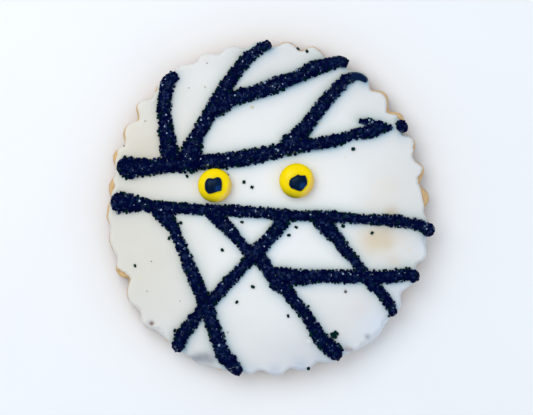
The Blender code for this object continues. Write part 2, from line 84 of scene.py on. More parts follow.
# How the hand-cut biscuit runs out of true: angle, turn of the flutes in degrees, change of the radius, depth
# of the flutes, and how far they lean
OUT_OF_TRUE = (
    (0, 4.2, -0.9, 0.77, -0.1), (15, 4.2, -1.4, 1.16, 0.1), (20, 4.2, -1.4, 0.79, -0.2),
    (30, 4.3, -0.8, 1.24, 0.1), (45, 4.2, -0.3, 1.02, 0), (60, 4.2, 0.5, 0.90, -0.1),
    (75, 3.2, 0.8, 0.84, 0.2), (90, 2.7, 0.6, 0.88, -0.2), (105, 2.6, 0.3, 0.53, 0.1),
    (120, 1.5, 0.6, 0.65, 0.2), (135, 0.7, -0.2, 0.71, 0), (143, 0.5, -0.1, 1.26, 0.1),
    (152, 0.8, -0.8, 0.96, 0), (161, 0.6, -0.9, 0.95, 0), (170, 1.6, -1.6, 0.67, 0),
    (180, 2, -1.1, 0.38, 0.2), (195, 2.1, -1, 0.43, -0.1), (204, 2.7, -0.8, 0.84, -0.1),
    (207, 2.6, -0.9, 1.11, 0.4), (210.5, 2.9, -0.3, 0.83, 0), (218, 3.3, 0.7, 0.69, 0),
    (225, 3.3, 0.8, 0.98, -0.1), (232, 3.3, -0.2, 0.94, -0.1), (240, 3.2, 0.4, 0.89, 0),
    (255, 3.1, 0.4, 0.88, 0.1), (264, 3.2, -0.1, 0.85, 0.2), (270, 3.5, 0.4, 0.67, 0),
    (278, 3.6, 0.2, 0.72, 0.1), (288, 3.4, 0.2, 0.62, 0.1), (300, 2.9, 0.4, 0.75, 0),
    (308, 2.6, 0.4, 0.84, 0), (315, 2.6, 0, 0.84, 0.1), (322, 2.8, 0, 0.78, 0.2),
    (330, 3.5, -0.7, 0.68, 0.2), (337, 4.1, 0.1, 0.97, -0.1), (345, 4.1, -0.1, 0.85, -0.1),
)
CROWN_WIDTH = 1.4
CROWN_DROP = 1.8
CROWN_ARC = math.pi / 2 * (CROWN_WIDTH + CROWN_DROP) / 2
FOOT_BEVEL = 0.6
STEPS_PER_FLUTE = 30
# Rings of its mesh: how far in from the edge on the base, shares of the foot's rounding, how many on the side
# and the crown, and how far in from the crown on the top
BASE_INSETS = (30.0, 20.0, 12.0, 7.0, 4.0, 2.5, 1.6, 1.0)
FOOT_SHARES = (0.0, 0.33, 0.67, 1.0)
SIDE_RINGS = 12
CROWN_RINGS = 9
TOP_INSETS = (0.4, 0.8, 1.3, 2.0, 3.0, 5.0)
# Relief of the crumb: size and depth of its grains, its pores, and the shares of it on the base and the top
CRUMB_GRAIN = ((1.6, 0.09), (0.7, 0.05))
PORE_SIZE = 1.1
PORE_DEPTH = 0.5
PORE_FROM = 0.3
BASE_RELIEF = 0.5
TOP_RELIEF = 0.7

# Icing
ICING_THICKNESS = 1.8
ICING_TOP = BISCUIT_HEIGHT + ICING_THICKNESS
# Where the icing stops, all round: angle, distance past the biscuit's edge, share of the flutes it keeps
ICING_EDGE = (
    (0.4, -0.8, 0), (4.2, -1.1, 0), (8.6, -1.3, 0), (10.2, -0.6, 1), (11.8, -1.5, 1), (13.4, -0.8, 1),
    (14.8, -0.4, 1), (17, -0.3, 1), (19.5, -0.05, 1), (21.5, -0.2, 1), (22.8, -0.8, 1), (24.4, -0.35, 1),
    (26.5, -0.1, 1), (31, -0.2, 1), (33, -0.9, 1), (34.7, -1.5, 1), (36.3, -1, 1), (38.2, -1, 1),
    (40.5, -0.6, 1), (44, -0.8, 1), (47.5, -0.5, 1), (51, -0.1, 1), (66, 0, 1), (73, -0.35, 1),
    (84, -0.35, 1), (90, 0, 1), (130, 0, 1), (131.2, -0.1, 1), (132.7, -0.55, 1), (134.4, 0, 1),
    (139, -0.05, 1), (141.4, -0.3, 1), (143, -0.8, 1), (145, -0.5, 1), (146.6, 0, 1), (149, -0.15, 1),
    (151.4, -0.55, 1), (153.2, -0.75, 1), (155.2, -0.1, 1), (157.5, -0.05, 0.8), (160.4, -0.5, 0.15),
    (163.6, -0.4, 0.4), (166.5, -0.05, 0.9), (168.5, -0.3, 0.5), (171.8, -1.1, 0), (174.6, -0.6, 0.2),
    (176.5, -0.1, 0.9), (180, -0.6, 1), (183.5, -0.45, 0.9), (187, 0, 1), (193, -0.25, 1), (199, 0, 1),
    (200.8, -0.3, 1), (202.8, -1.3, 1), (204.3, -1.85, 1), (205.2, -1.65, 1), (206.8, -0.5, 1),
    (211.5, -0.25, 1), (215, -0.1, 1), (220, 0, 1), (226, 0.05, 0.6), (230, 0.3, 0), (233.5, 0.65, 0),
    (237, 1, 0), (241, 0.5, 0), (246, 1.3, 0), (251, 0.6, 0.1), (254.5, 0.35, 0.2), (261, 0.15, 0.8),
    (266, 0, 1), (289, 0, 1), (294, 0.5, 0.1), (299, 0.3, 0), (303, 0.8, 0), (308, 1.35, 0), (312, 1.35, 0),
    (316, 0.7, 0), (318.5, 0.25, 0), (322, 0.7, 0.1), (326, 0.05, 0.95), (345, 0, 1), (346.3, 0, 1),
    (348, 0.05, 0), (350.5, 0, 0), (353, -0.1, 0.8), (357, -0.2, 1),
)
# How far its edge wanders, drawn from noise on a circle this large
EDGE_WANDER = 0.06
WANDER_CIRCLE = 12.0
# How far the icing hangs for each millimetre that it has run over, its lip, and how wide its rim is rounded:
# where it stops short, and where it has run over this far
HANG_PER_MM = 2.4
LIP_DEPTH = 0.7
LIP_HEIGHT = 0.6
ROUND_SHORT = 1.0
ROUND_SPILLED = 2.2
SPILLED_FULLY = 0.8
# The share of the rounding's width up to which the height of the top is followed
CARRIED_ON = 0.95
# Where its skin starts out of sight: how far in under the lip, how far below, and how deep at the middle
TUCK_IN = 0.5
TUCK_DOWN = 0.2
TUCK_MIDDLE = 1.0
# Rings of its mesh round the rim, then inwards by a step or a share of the points' distance; the points are
# halved once they lie this close, down to the fewest
ICING_STEPS_PER_FLUTE = 32
LIP_RINGS = 5
ROUND_RINGS = 16
FLAT_RINGS = 24
ZONE_RADIUS = 36.0
INNERMOST_RING = 0.6
RING_STEP = 0.4
RING_SHARE = 0.9
HALVED_STEP = 0.3
CLOSEST_POINTS = 0.2
FEWEST_POINTS = 72
# Its slow waves: how long, how high, and a shift of the noise; and the same for the rim alone
ICING_WAVES = ((14.0, 0.10, 5.0), (4.5, 0.03, 2.0), (1.1, 0.006, 7.0))
RIM_WAVE = (1.6, 0.06, 8.0)
# Dents and bumps in the icing: x, y, radius and height
ICING_RELIEF = (
    (28.0, -35.3, 0.9, -1.35), (28.0, -35.3, 2.0, 0.45), (-19.4, -41.1, 1.7, -0.30),
    (-16.4, -41.0, 1.7, -0.30), (-31.9, -31.4, 0.8, -0.45), (-9.4, 29.0, 3.0, 0.06),
    (21.5, -38.0, 1.7, -0.25),
)

# Bands of sugared black icing: x, y and half the width, along each one
BANDS = {
    "brow": (
        (-39, 11.6, 2.75), (-37.4, 11.4, 2.95), (-35.2, 11.55, 2.6), (-32, 11.6, 2.3), (-27, 12.1, 2.05),
        (-22, 12.45, 2.1), (-17, 13.05, 2), (-11.5, 13.2, 2), (-5, 14.3, 2.15), (1, 15.5, 1.85),
        (8.5, 17.4, 2.05), (14, 17.9, 1.6), (18.5, 18.7, 1.75), (23, 20.2, 1.3), (28, 21.4, 1.85),
        (31.5, 22.2, 1.5), (34, 22.4, 0.65),
    ),
    "brow_overrun": ((25.6, 24.2, 0.55), (27.5, 23.7, 1.1), (30, 23.3, 1.15), (32.6, 22.6, 0.9)),
    "brow_tip": ((36.8, 23.3, 1.45), (37.4, 22.4, 1.6)),
    "temple": (
        (-26, 36.3, 1.7), (-27.4, 34.6, 2.1), (-28.1, 31, 2), (-28.3, 27, 1.85), (-27.9, 23, 1.95),
        (-27.5, 19, 2.3), (-26.4, 14.5, 2.6),
    ),
    "crown": (
        (-0.1, 45, 1.55), (-2.5, 43.9, 1.5), (-5.1, 41.8, 1.7), (-7.4, 39.1, 1.6), (-9.85, 35.95, 1.65),
        (-12.5, 32, 1.9), (-14.6, 28.1, 2), (-16.8, 24.4, 1.9), (-18.8, 20.9, 1.95), (-20.1, 18, 2.4),
        (-20.9, 15, 3.2), (-21.2, 13.2, 3.3),
    ),
    "crown_branch": (
        (-14, 27.6, 2.3), (-10.8, 29.9, 2.55), (-6.6, 31.2, 1.95), (-2.45, 32.3, 1.9), (1.5, 33.8, 2.15),
        (5.5, 35.25, 1.85), (9, 36.6, 1.8), (13, 38.65, 1.95), (16.5, 39.85, 1.85), (19.5, 40.75, 1.65),
        (21, 40.4, 1.6),
    ),
    "brow_branch": (
        (6.2, 17.8, 2.6), (9.5, 21.2, 2.15), (12.6, 25.15, 1.8), (15.1, 28.45, 1.82), (17.6, 31.3, 1.75),
        (20.1, 33.85, 1.68), (22.45, 36, 1.5), (25, 36.5, 1.2), (27, 35.6, 0.9),
    ),
    "cheek": (
        (-40.6, 1.9, 2.85), (-37.6, 1.55, 2.4), (-34.8, 1.3, 1.85), (-31.5, 0.8, 1.65), (-27, 0.35, 1.55),
        (-21.5, 0.1, 1.45), (-17, -0.3, 1.45), (-11.5, -0.45, 1.5), (-4.5, -0.8, 1.5), (2.5, -1.35, 1.45),
        (9, -1.85, 1.4), (16, -2, 1.6), (23, -2.55, 1.3), (29.5, -2.95, 1.35), (34.5, -3.15, 1.65),
        (38.8, -3.85, 1.4), (42.1, -4.5, 1.6), (44.3, -5.7, 2.1),
    ),
    "jaw_left": (
        (-30.6, 0.2, 1.8), (-28.2, -2.1, 2.1), (-25.9, -4.8, 1.65), (-24.6, -8, 1.4), (-22.9, -11.7, 1.45),
        (-21.4, -15.65, 1.8), (-19.65, -19.85, 1.85), (-18, -23.4, 1.75), (-16.8, -27, 2.2),
        (-15.3, -31.05, 1.85), (-13.65, -35.55, 1.85), (-12.1, -39.6, 2.05), (-9.4, -43.2, 1.95),
        (-8.3, -44.3, 1.75),
    ),
    "jaw_cross": (
        (4.5, -2.2, 2.3), (2.9, -5.15, 1.95), (0.2, -8.5, 1.6), (-2.5, -11.4, 2.1), (-5.2, -14.3, 1.5),
        (-7.9, -17.3, 1.45), (-11, -20.4, 1.6), (-13.8, -23.6, 1.6), (-16.5, -26.4, 1.9),
        (-19.1, -29.3, 1.65), (-21.35, -32, 1.75), (-23.3, -34.9, 1.85), (-24.5, -37.7, 1.9),
    ),
    "nose": (
        (-14.5, -1.7, 1.95), (-12, -4.1, 1.85), (-9.4, -6.7, 1.65), (-7.15, -9.35, 1.35),
        (-4.6, -11.9, 1.8), (-1.7, -14.1, 1.95), (0.5, -16.9, 1.6), (2.5, -19.8, 2.1), (5.2, -22.3, 1.85),
        (7.6, -25.3, 1.55), (10.1, -28.3, 1.55), (12.3, -31.5, 1.6), (14.2, -34.85, 1.9),
        (16.4, -37.3, 2.05), (18.45, -39, 2.25), (19, -39.9, 2),
    ),
    "mouth": (
        (0.6, -17.6, 1.6), (4.7, -18.3, 2.2), (9.1, -18.8, 2.15), (14.6, -18.4, 1.7), (20.1, -18.6, 1.75),
        (25.6, -18.6, 1.75), (31.1, -18.7, 1.75), (35.2, -18.4, 1.7), (38.8, -18, 1.6), (40.3, -18.4, 1.95),
    ),
    "jaw_right": (
        (15.2, -3.2, 2.5), (16.9, -5.5, 2.2), (19.45, -8.3, 1.6), (21.6, -11.4, 1.55), (24.1, -14.2, 1.4),
        (26, -17.1, 1.6), (28.7, -20.4, 1.6), (31.4, -23.1, 1.35), (33.4, -25.9, 1.4), (34.7, -28.3, 1.35),
    ),
}
UPPER_BANDS = ("brow", "brow_overrun", "brow_tip", "temple", "crown", "crown_branch", "brow_branch")
# How high a band stands: for each millimetre of its half width, and besides; how deep it is sunk; its bumps'
# length and height
BAND_RISE = 0.75
BAND_BASE_RISE = 0.35
BAND_DEPTH = 0.9
BAND_BUMPS = (1.3, 0.1)
BAND_STEP = 0.45
BAND_SIDES = 20
BAND_END_SHARES = (0.35, 0.62, 0.82, 0.95)
ROUTE_STEPS = 20
# Lengths at the start and the end of a band that the sugar missed, and over which it thins out
BARE_ENDS = {"brow_branch": (0, 3.6)}
BARE_FADE = 1.5
SUGARED_FROM = 0.5

# Sugar crystals: how thick they lie on the bands, and on a bare end
SUGAR_COAT = 0.35
BARE_COAT = 0.05
# Over the rim the sugar is pressed in: how far from the icing's edge that starts and is complete, what stands
# clear of the black icing there, and how far out across the band the sugar lies
RIM_REACH = (2.2, 1.0)
RIM_COAT = 0.12
RIM_LIMIT = 0.80
# How far apart they lie, their length, their width and height as shares of it, and their usual tilt
CRYSTAL_SPACING = 0.53
CRYSTAL_LENGTH = (0.55, 0.85)
LOOSE_LENGTH = (0.82, 1.02)
CRYSTAL_WIDTH = (0.65, 0.95)
CRYSTAL_FLATNESS = (0.65, 0.95)
CRYSTAL_TILT = 34.0
CRYSTAL_CHAMFER = 0.14
CRYSTAL_UNEVENNESS = (0.88, 1.12)
# How much the crystals vary in height on the coat, and how deep the deepest sits
CRYSTAL_RISE = 0.3
CRYSTAL_SINK = 0.1
LOOSE_LIFT = 0.2
# Tries at a place for a crystal, on each square millimetre of the bands' box and this margin round it
DARTS_PER_MM2 = 26
BAND_MARGIN = 4
SLOPE_STEP = 0.15
# The sugar ends at this share of a band's half width, give or take the second, over a distance
SUGAR_LIMIT = 0.98
RAGGED_SHARE = 0.20
RAGGED_SIZE = 0.75
# Crystals that glint: their share, and the tint of the glint
GLINT_SHARE = 0.15
GLINT_TINT = (0.50, 0.70, 1.0, 1.0)
# Thin crystals let light through and look green: their tones, and how many along a band's edge are so
GREEN_TONES = (0.0, 0.12)
GREEN_FROM = 0.82
GREEN_SHARE = 0.45
# Crystals that fell beside the bands: x and y
CRYSTAL_SPOTS = (
    (-22, 9), (-11.05, 9.4), (-6.3, 7.4), (-4.1, 6), (-23.7, -3.8), (-6.9, -3.6), (-12.3, -11.3),
    (-36.3, -15.6), (-26.9, -8), (8, -5), (6, -7.2), (-3.9, -21.4), (-8.3, -25.6), (5.8, -29.4), (11, 43.4),
    (8.5, 44), (20.9, -4.7), (28.9, -6.6), (23.7, 16.5), (11.3, -26.8), (-25.4, -33.4), (18.7, -33.8),
    (17.9, -34.4), (19.2, -34.3), (18.5, -34.5), (18.8, -35.2), (18.2, -35), (11.4, -43.8), (33.5, -29.4),
)
# Crumbs and specks half sunk in the icing: x, y, size and tone, from grey over tan and yellow to dark
CRUMB_SPOTS = (
    (-16.5, 40.1, 0.45, 0), (-17, 33.5, 0.6, 0.3), (-21.5, 33.3, 0.4, 0.1), (-33.5, 24.2, 0.4, 0.2),
    (-31.8, -14.4, 0.30, 1), (-10.8, -33.9, 0.45, 0.05), (21.6, -22.7, 0.75, 0.95), (-4.1, 28, 0.7, 0.55),
    (-39.3, 17.3, 0.45, 0.9), (21.5, 14.2, 0.35, 0.5), (-33, -22.6, 0.3, 0.1), (-23.9, -25.3, 0.35, 0.1),
    (2.1, 4.2, 0.3, 0.1), (14.6, 23.5, 0.55, 0.55),
)

# Candy eyes: centre and radius
CANDIES = {"left": (-14.35, 6.45, 4.67), "right": (8.15, 7.75, 4.82)}
CANDY_HALF_HEIGHT = 2.45
CANDY_SINK = 0.5
# How full their edge is, 2 for an ellipse, and how far out their height is read at most
CANDY_FULLNESS = 2.3
CANDY_EDGE = 0.98
CANDY_WOBBLE = (3.5, 0.008)
CANDY_SEGMENTS = 96
CANDY_RINGS = 48
# Painted shade and bounce light on the candies: an orange-tan crescent along the shell's rim towards the
# lower right: direction, spread round the rim, and share of the radius it starts at
BOUNCE_TOWARDS = -26.0
BOUNCE_SPREAD = 46.0
BOUNCE_FROM = 0.68
# Painted highlights on a shell, lighter patches where the lights are reflected: direction, spread round it,
# place and width as shares of the radius, and strength
PAINTED_HIGHLIGHTS = ((145.0, 26.0, 0.56, 0.09, 0.25), (-50.0, 22.0, 0.77, 0.05, 0.40))
# Painted shade along the candies' lower rim, where the light falls away: direction, spread round it, and
# where that starts
SHADE_TOWARDS = -104.0
SHADE_SPREAD = 46.0
SHADE_FROM = 0.45
SHADE_POWER = 1.3
# Outlines of the pupils, measured from the middle of each candy
PUPILS = {
    "left": (
        (-2.75, -0.08), (-2.64, 0.91), (-2.15, 1.76), (-1.40, 2.06), (-0.41, 1.93), (0.44, 2.26),
        (1.18, 2.26), (1.79, 1.76), (2.04, 0.66), (1.98, -0.58), (1.79, -1.43), (0.94, -1.68),
        (-0.06, -2.01), (-1.40, -2.34), (-2.01, -2.06), (-2.64, -1.18),
    ),
    "right": (
        (-2.13, -1.05), (-2.02, -0.06), (-1.53, 0.69), (-0.67, 1.18), (-0.04, 1.54), (0.40, 1.79),
        (0.81, 1.54), (1.42, 1.46), (2.27, 1.49), (2.65, 0.94), (2.93, -0.06), (2.85, -1.05), (2.41, -1.65),
        (1.80, -2.39), (1.06, -2.89), (0.18, -2.75), (-0.67, -2.39), (-1.42, -2.15), (-1.88, -1.65),
    ),
}
# The dome of a pupil: its height, the powers that shape it, its sunk edge and its bumps
PUPIL_HEIGHT = 1.2
PUPIL_SHRINK = 1.6
PUPIL_DOME = 2.6
PUPIL_SUNK = (0.97, -0.25)
PUPIL_BUMPS = (1.5, 0.06)
PUPIL_RINGS = 12
SAMPLES_PER_STOP = 8
# A painted blue glint on each pupil, where the cool light is reflected: its place from the middle of a pupil,
# and over what distance it fades
GLINT_PLACE = (1.25, -1.0)
GLINT_SPREAD = 0.95


def held(value):
    """The value, held between 0 and 1."""
    return min(max(value, 0.0), 1.0)


def bell(off, spread):
    """1 where off is zero, fading over this spread to both sides."""
    return math.exp(-(off / spread) ** 2)


def turned_from(angle, direction):
    """Degrees from this direction to the angle, from -180 to 180."""
    return (angle - direction + 180) % 360 - 180


def smooth_between(stops, angle):
    """The values at this angle, eased between the stops round the circle."""
    for near, far in zip(stops, stops[1:] + ((stops[0][0] + 360,) + stops[0][1:],)):
        if near[0] <= angle % 360 < far[0]:
            share = (angle % 360 - near[0]) / (far[0] - near[0])
            eased = share * share * (3 - 2 * share)
            return [a + (b - a) * eased for a, b in zip(near[1:], far[1:])]
    return list(stops[0][1:])


def outline(angle):
    """The biscuit's mean radius at this angle, and how far a flute stands out from it or in."""
    turned, change, depth, lean = smooth_between(OUT_OF_TRUE, angle)
    turn = math.radians(FLUTES * (angle - turned))
    wave = math.cos(turn) - FLUTE_BREADTH * math.cos(2 * turn) + lean * math.sin(2 * turn)
    return BISCUIT_RADIUS + change, depth * wave


def biscuit_edge(angle):
    """The biscuit's radius at this angle."""
    radius, flute = outline(angle)
    return radius + flute


def crown_point(angle, path):
    """Radius and height on the biscuit's top edge: path runs outwards from where the edge starts to round."""
    shoulder = biscuit_edge(angle) - CROWN_WIDTH
    if path <= 0:
        return shoulder + path, BISCUIT_HEIGHT
    turn = path / CROWN_ARC * math.pi / 2
    return shoulder + CROWN_WIDTH * math.sin(turn), BISCUIT_HEIGHT - CROWN_DROP * (1 - math.cos(turn))


def icing_shape(angle):
    """The icing's edge at this angle: its radius, the height of its foot, and the width of its rounding."""
    past, kept = smooth_between(ICING_EDGE, angle)
    past += EDGE_WANDER * ripple(*around(angle, WANDER_CIRCLE, 0.0), 1.0)
    beyond = past - (1 - kept) * outline(angle)[1]
    if beyond < 0:
        share = max(1 + beyond / CROWN_WIDTH, 0.0)
        foot = BISCUIT_HEIGHT - CROWN_DROP * (1 - math.sqrt(1 - share * share))
    else:
        foot = BISCUIT_HEIGHT - CROWN_DROP - HANG_PER_MM * min(beyond, max(past, 0.0))
    spilled = held(beyond / SPILLED_FULLY)
    return biscuit_edge(angle) + beyond, foot, ROUND_SHORT + (ROUND_SPILLED - ROUND_SHORT) * spilled


def icing_top(x, y):
    """Height of the icing's upper surface, carried on a little past the rim."""
    edge, foot, rounding = icing_shape(math.degrees(math.atan2(y, x)))
    share = min((math.hypot(x, y) - (edge - rounding)) / rounding, CARRIED_ON)
    if share <= 0:
        return ICING_TOP
    widest = foot + LIP_HEIGHT
    return widest + (ICING_TOP - widest) * math.sqrt(1 - share * share)


def curved(stops, t):
    """The values at t on a Catmull-Rom curve from the second of four stops to the third."""
    return [
        q + ((r - p) * t + (2 * p - 5 * q + 4 * r - s) * t * t + (3 * q - p - 3 * r + s) * t ** 3) / 2
        for p, q, r, s in zip(*stops)
    ]


def smooth_route(stops, step):
    """Evenly spaced samples of a smooth curve through these stops; every value is carried along."""
    padded = [stops[0], *stops, stops[-1]]
    dense = []
    for four in zip(padded, padded[1:], padded[2:], padded[3:]):
        dense += [curved(four, i / ROUTE_STEPS) for i in range(ROUTE_STEPS)]
    dense.append(list(stops[-1]))
    lengths = [0.0]
    for a, b in zip(dense, dense[1:]):
        lengths.append(lengths[-1] + math.dist(a[:2], b[:2]))
    count = max(2, round(lengths[-1] / step))
    samples, i = [], 0
    for n in range(count + 1):
        target = lengths[-1] * n / count
        while i < len(lengths) - 2 and lengths[i + 1] < target:
            i += 1
        share = (target - lengths[i]) / max(lengths[i + 1] - lengths[i], 1e-9)
        samples.append([a + (b - a) * share for a, b in zip(dense[i], dense[i + 1])])
    return samples


def around(angle, radius, height):
    turn = math.radians(angle)
    return radius * math.cos(turn), radius * math.sin(turn), height


def ripple(x, y, z, size, shift=0.0):
    """Smooth noise from -1 to 1 with features of this size."""
    return noise.noise(Vector((x, y, z)) / size + Vector((shift, shift, shift)))


def mesh_object(name, points, faces, material, slot, smooth=True):
    """A piece with this mesh, given in millimetres, that rides on the cookie."""
    mesh = bpy.data.meshes.new(name)
    mesh.from_pydata((np.array(points) * MM).tolist(), [], faces)
    mesh.validate()
    if smooth:
        mesh.shade_smooth()
    mesh.materials.append(material)
    obj = bpy.data.objects.new(name, mesh)
    bpy.context.scene.collection.objects.link(obj)
    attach(obj, "root")
    return obj


def carry(obj, name, values):
    """One number for each point of the piece, which its material reads by this name."""
    attribute = obj.data.attributes.new(name, "FLOAT", "POINT")
    attribute.data.foreach_set("value", np.array(values, dtype=np.float32))


def ring_walls(rings):
    """Points of rings of equal count, and faces that join each ring to the next."""
    count = len(rings[0])
    points = [p for ring in rings for p in ring]
    faces = []
    for r in range(len(rings) - 1):
        for s in range(count):
            a, b = r * count + s, r * count + (s + 1) % count
            faces.append((a, b, b + count, a + count))
    return points, faces


def closed_rings(rings):
    """Points and faces of rings of equal count, each joined to the next, with a fan at each end."""
    count = len(rings[0])
    points, faces = ring_walls(rings)
    for ring, start in ((rings[0], 0), (rings[-1], len(points) - count)):
        points.append(tuple(sum(values) / count for values in zip(*ring)))
        last = len(points) - 1
        for s in range(count):
            a, b = start + s, start + (s + 1) % count
            faces.append((b, a, last) if start == 0 else (a, b, last))
    return points, faces


def crumb_depth(x, y, z):
    """Relief of the baked surface, inwards below zero: a sandy grain with pores."""
    relief = sum(size * ripple(x, y, z, grain, 3.0) for grain, size in CRUMB_GRAIN)
    pore = max(0.0, ripple(x, y, z, PORE_SIZE, 9.0) - PORE_FROM)
    return relief - PORE_DEPTH * pore


def biscuit_piece(material):
    """The baked biscuit, with crumb relief on its side, its rim and its base."""
    steps = FLUTES * STEPS_PER_FLUTE
    angles = [360.0 * s / steps for s in range(steps)]
    side = BISCUIT_HEIGHT - CROWN_DROP - FOOT_BEVEL
    profile = [("base", inset) for inset in BASE_INSETS]
    profile += [("foot", share) for share in FOOT_SHARES]
    profile += [("side", FOOT_BEVEL + side * i / SIDE_RINGS) for i in range(1, SIDE_RINGS)]
    profile += [("crown", CROWN_ARC * (1 - i / CROWN_RINGS)) for i in range(CROWN_RINGS + 1)]
    profile += [("crown", -inset) for inset in TOP_INSETS]
    rings = []
    for kind, value in profile:
        ring = []
        for angle in angles:
            edge = biscuit_edge(angle)
            if kind == "base":
                radius, height = edge - value, 0.0
            elif kind == "foot":
                turn = value * math.pi / 2
                radius = edge - FOOT_BEVEL + FOOT_BEVEL * math.sin(turn)
                height = FOOT_BEVEL - FOOT_BEVEL * math.cos(turn)
            elif kind == "side":
                radius, height = edge, value
            else:
                radius, height = crown_point(angle, value)
            x, y, z = around(angle, radius, height)
            depth = crumb_depth(x, y, z)
            if kind == "base":
                z += BASE_RELIEF * abs(depth)
            elif kind == "crown" and value < CROWN_ARC / 2:
                z += TOP_RELIEF * depth
            else:
                x, y, _ = around(angle, radius + depth, height)
            ring.append((x, y, z))
        rings.append(ring)
    return mesh_object("baked_biscuit", *closed_rings(rings), material, "biscuit")


def icing_relief(x, y):
    """Height of the icing's own dents, bumps and slow waves above its plain surface."""
    height = sum(rise * ripple(x, y, 0.0, size, shift) for size, rise, shift in ICING_WAVES)
    for spot_x, spot_y, radius, rise in ICING_RELIEF:
        distance = math.hypot(x - spot_x, y - spot_y) / radius
        if distance < 3:
            height += rise * math.exp(-distance * distance)
    return height


def icing_profile(angle):
    """The icing's skin at this angle, from where it is tucked into the biscuit to the flat of the top."""
    edge, foot, rounding = icing_shape(angle)
    widest = foot + LIP_HEIGHT
    size, wander, shift = RIM_WAVE
    row = [around(angle, min(edge - LIP_DEPTH, biscuit_edge(angle)) - TUCK_IN, foot - TUCK_DOWN)]
    for i in range(LIP_RINGS):
        turn = i / LIP_RINGS * math.pi / 2
        radius = edge - LIP_DEPTH * (1 - math.sin(turn))
        row.append(around(angle, radius, foot + LIP_HEIGHT * (1 - math.cos(turn))))
    for i in range(ROUND_RINGS + 1):
        turn = i / ROUND_RINGS * math.pi / 2
        radius = edge - rounding * (1 - math.cos(turn))
        x, y, z = around(angle, radius, widest + (ICING_TOP - widest) * math.sin(turn))
        radius += wander * ripple(x, y, z, size, shift) * math.cos(turn)
        row.append(around(angle, radius, z + icing_relief(x, y) * math.sin(turn)))
    flat = edge - rounding
    for i in range(1, FLAT_RINGS + 1):
        x, y, z = around(angle, flat + (ZONE_RADIUS - flat) * i / FLAT_RINGS, ICING_TOP)
        row.append((x, y, z + icing_relief(x, y)))
    return row


def icing_piece(material):
    """The icing: fine rings round the rim, then rings with half as many points each time inwards."""
    steps = FLUTES * ICING_STEPS_PER_FLUTE
    rows = [icing_profile(360.0 * s / steps) for s in range(steps)]
    points, faces = ring_walls([list(ring) for ring in zip(*rows)])
    start, count, radius = len(points) - steps, steps, ZONE_RADIUS
    while radius > INNERMOST_RING:
        halved = count > FEWEST_POINTS and 2 * math.pi * radius / count < CLOSEST_POINTS
        ring_count = count // 2 if halved else count
        radius -= HALVED_STEP if halved else max(RING_STEP, 2 * math.pi * radius / ring_count * RING_SHARE)
        radius = max(radius, INNERMOST_RING)
        new_start = len(points)
        for s in range(ring_count):
            x, y, z = around(360.0 * s / ring_count, radius, ICING_TOP)
            points.append((x, y, z + icing_relief(x, y)))
        for s in range(ring_count):
            here, there = new_start + s, new_start + (s + 1) % ring_count
            if halved:
                a, m, b = start + 2 * s, start + 2 * s + 1, start + (2 * s + 2) % count
                faces += [(a, m, here), (m, there, here), (m, b, there)]
            else:
                a, b = start + s, start + (s + 1) % count
                faces.append((a, b, there, here))
        start, count = new_start, ring_count
    points.append((0.0, 0.0, ICING_TOP + icing_relief(0.0, 0.0)))
    faces += [(start + s, start + (s + 1) % count, len(points) - 1) for s in range(count)]
    points.append((0.0, 0.0, BISCUIT_HEIGHT - TUCK_MIDDLE))
    faces += [((s + 1) % steps, s, len(points) - 1) for s in range(steps)]
    return mesh_object("white_icing", points, faces, material, "icing")


def over_rim(x, y):
    """How far the sugar is pressed in here, from 0 on the face of the icing to 1 at its rim."""
    from_edge = icing_shape(math.degrees(math.atan2(y, x)))[0] - math.hypot(x, y)
    return held((RIM_REACH[0] - from_edge) / (RIM_REACH[0] - RIM_REACH[1]))


def covered(name, samples):
    """How much sugar lies on the band at each of its samples, from 0 on a bare end to 1."""
    bare_start, bare_end = BARE_ENDS.get(name, (0, 0))
    last = len(samples) - 1
    shares = []
    for i in range(len(samples)):
        from_start = i * BAND_STEP - bare_start if bare_start else 1.0
        from_end = (last - i) * BAND_STEP - bare_end if bare_end else 1.0
        shares.append(held(min(from_start, from_end) / BARE_FADE))
    return shares


def band_core(name):
    """The piped black icing of one band: under the sugar, or as wide as the band where it is bare."""
    samples = smooth_route(BANDS[name], BAND_STEP)
    coats = []
    for (x, y, _), share in zip(samples, covered(name, samples)):
        thick = SUGAR_COAT + (RIM_COAT - SUGAR_COAT) * over_rim(x, y)
        coats.append(BARE_COAT + (thick - BARE_COAT) * share)
    neighbours = zip([samples[0], *samples], [*samples[1:], samples[-1]])
    along = [Vector(b[:2]) - Vector(a[:2]) for a, b in neighbours]
    stations = [(samples[0], coats[0], along[0], -share) for share in reversed(BAND_END_SHARES)]
    stations += [(sample, coat, direction, 0.0) for sample, coat, direction in zip(samples, coats, along)]
    stations += [(samples[-1], coats[-1], along[-1], share) for share in BAND_END_SHARES]
    rings = []
    for (x, y, half), coat, direction, beyond in stations:
        direction = direction.normalized()
        side = Vector((-direction.y, direction.x))
        centre = Vector((x, y)) + direction * beyond * (half - coat)
        narrowed = math.sqrt(1 - beyond * beyond)
        rise = (BAND_BASE_RISE + BAND_RISE * half - coat) * narrowed
        ring = []
        for k in range(BAND_SIDES):
            turn = 2 * math.pi * (k + 0.5) / BAND_SIDES
            across = centre + side * math.cos(turn) * (half - coat) * narrowed
            surface = icing_top(*across)
            if math.sin(turn) > 0:
                bump = BAND_BUMPS[1] * ripple(across.x, across.y, turn, BAND_BUMPS[0])
                height = surface + math.sin(turn) * (rise + bump)
            else:
                height = surface + BAND_DEPTH * math.sin(turn)
            ring.append((across.x, across.y, height))
        rings.append(ring)
    return closed_rings(rings)


def joined(parts):
    """One list of points and one of faces from several."""
    points, faces = [], []
    for more_points, more_faces in parts:
        start = len(points)
        points += more_points
        faces += [tuple(start + i for i in face) for face in more_faces]
    return points, faces


def sugared_routes(names):
    """Samples along these bands wherever sugar covers them."""
    routes = []
    for name in names:
        samples = smooth_route(BANDS[name], BAND_STEP)
        sugared = [sample for sample, share in zip(samples, covered(name, samples)) if share > SUGARED_FROM]
        routes.append(np.array(sugared))
    return routes


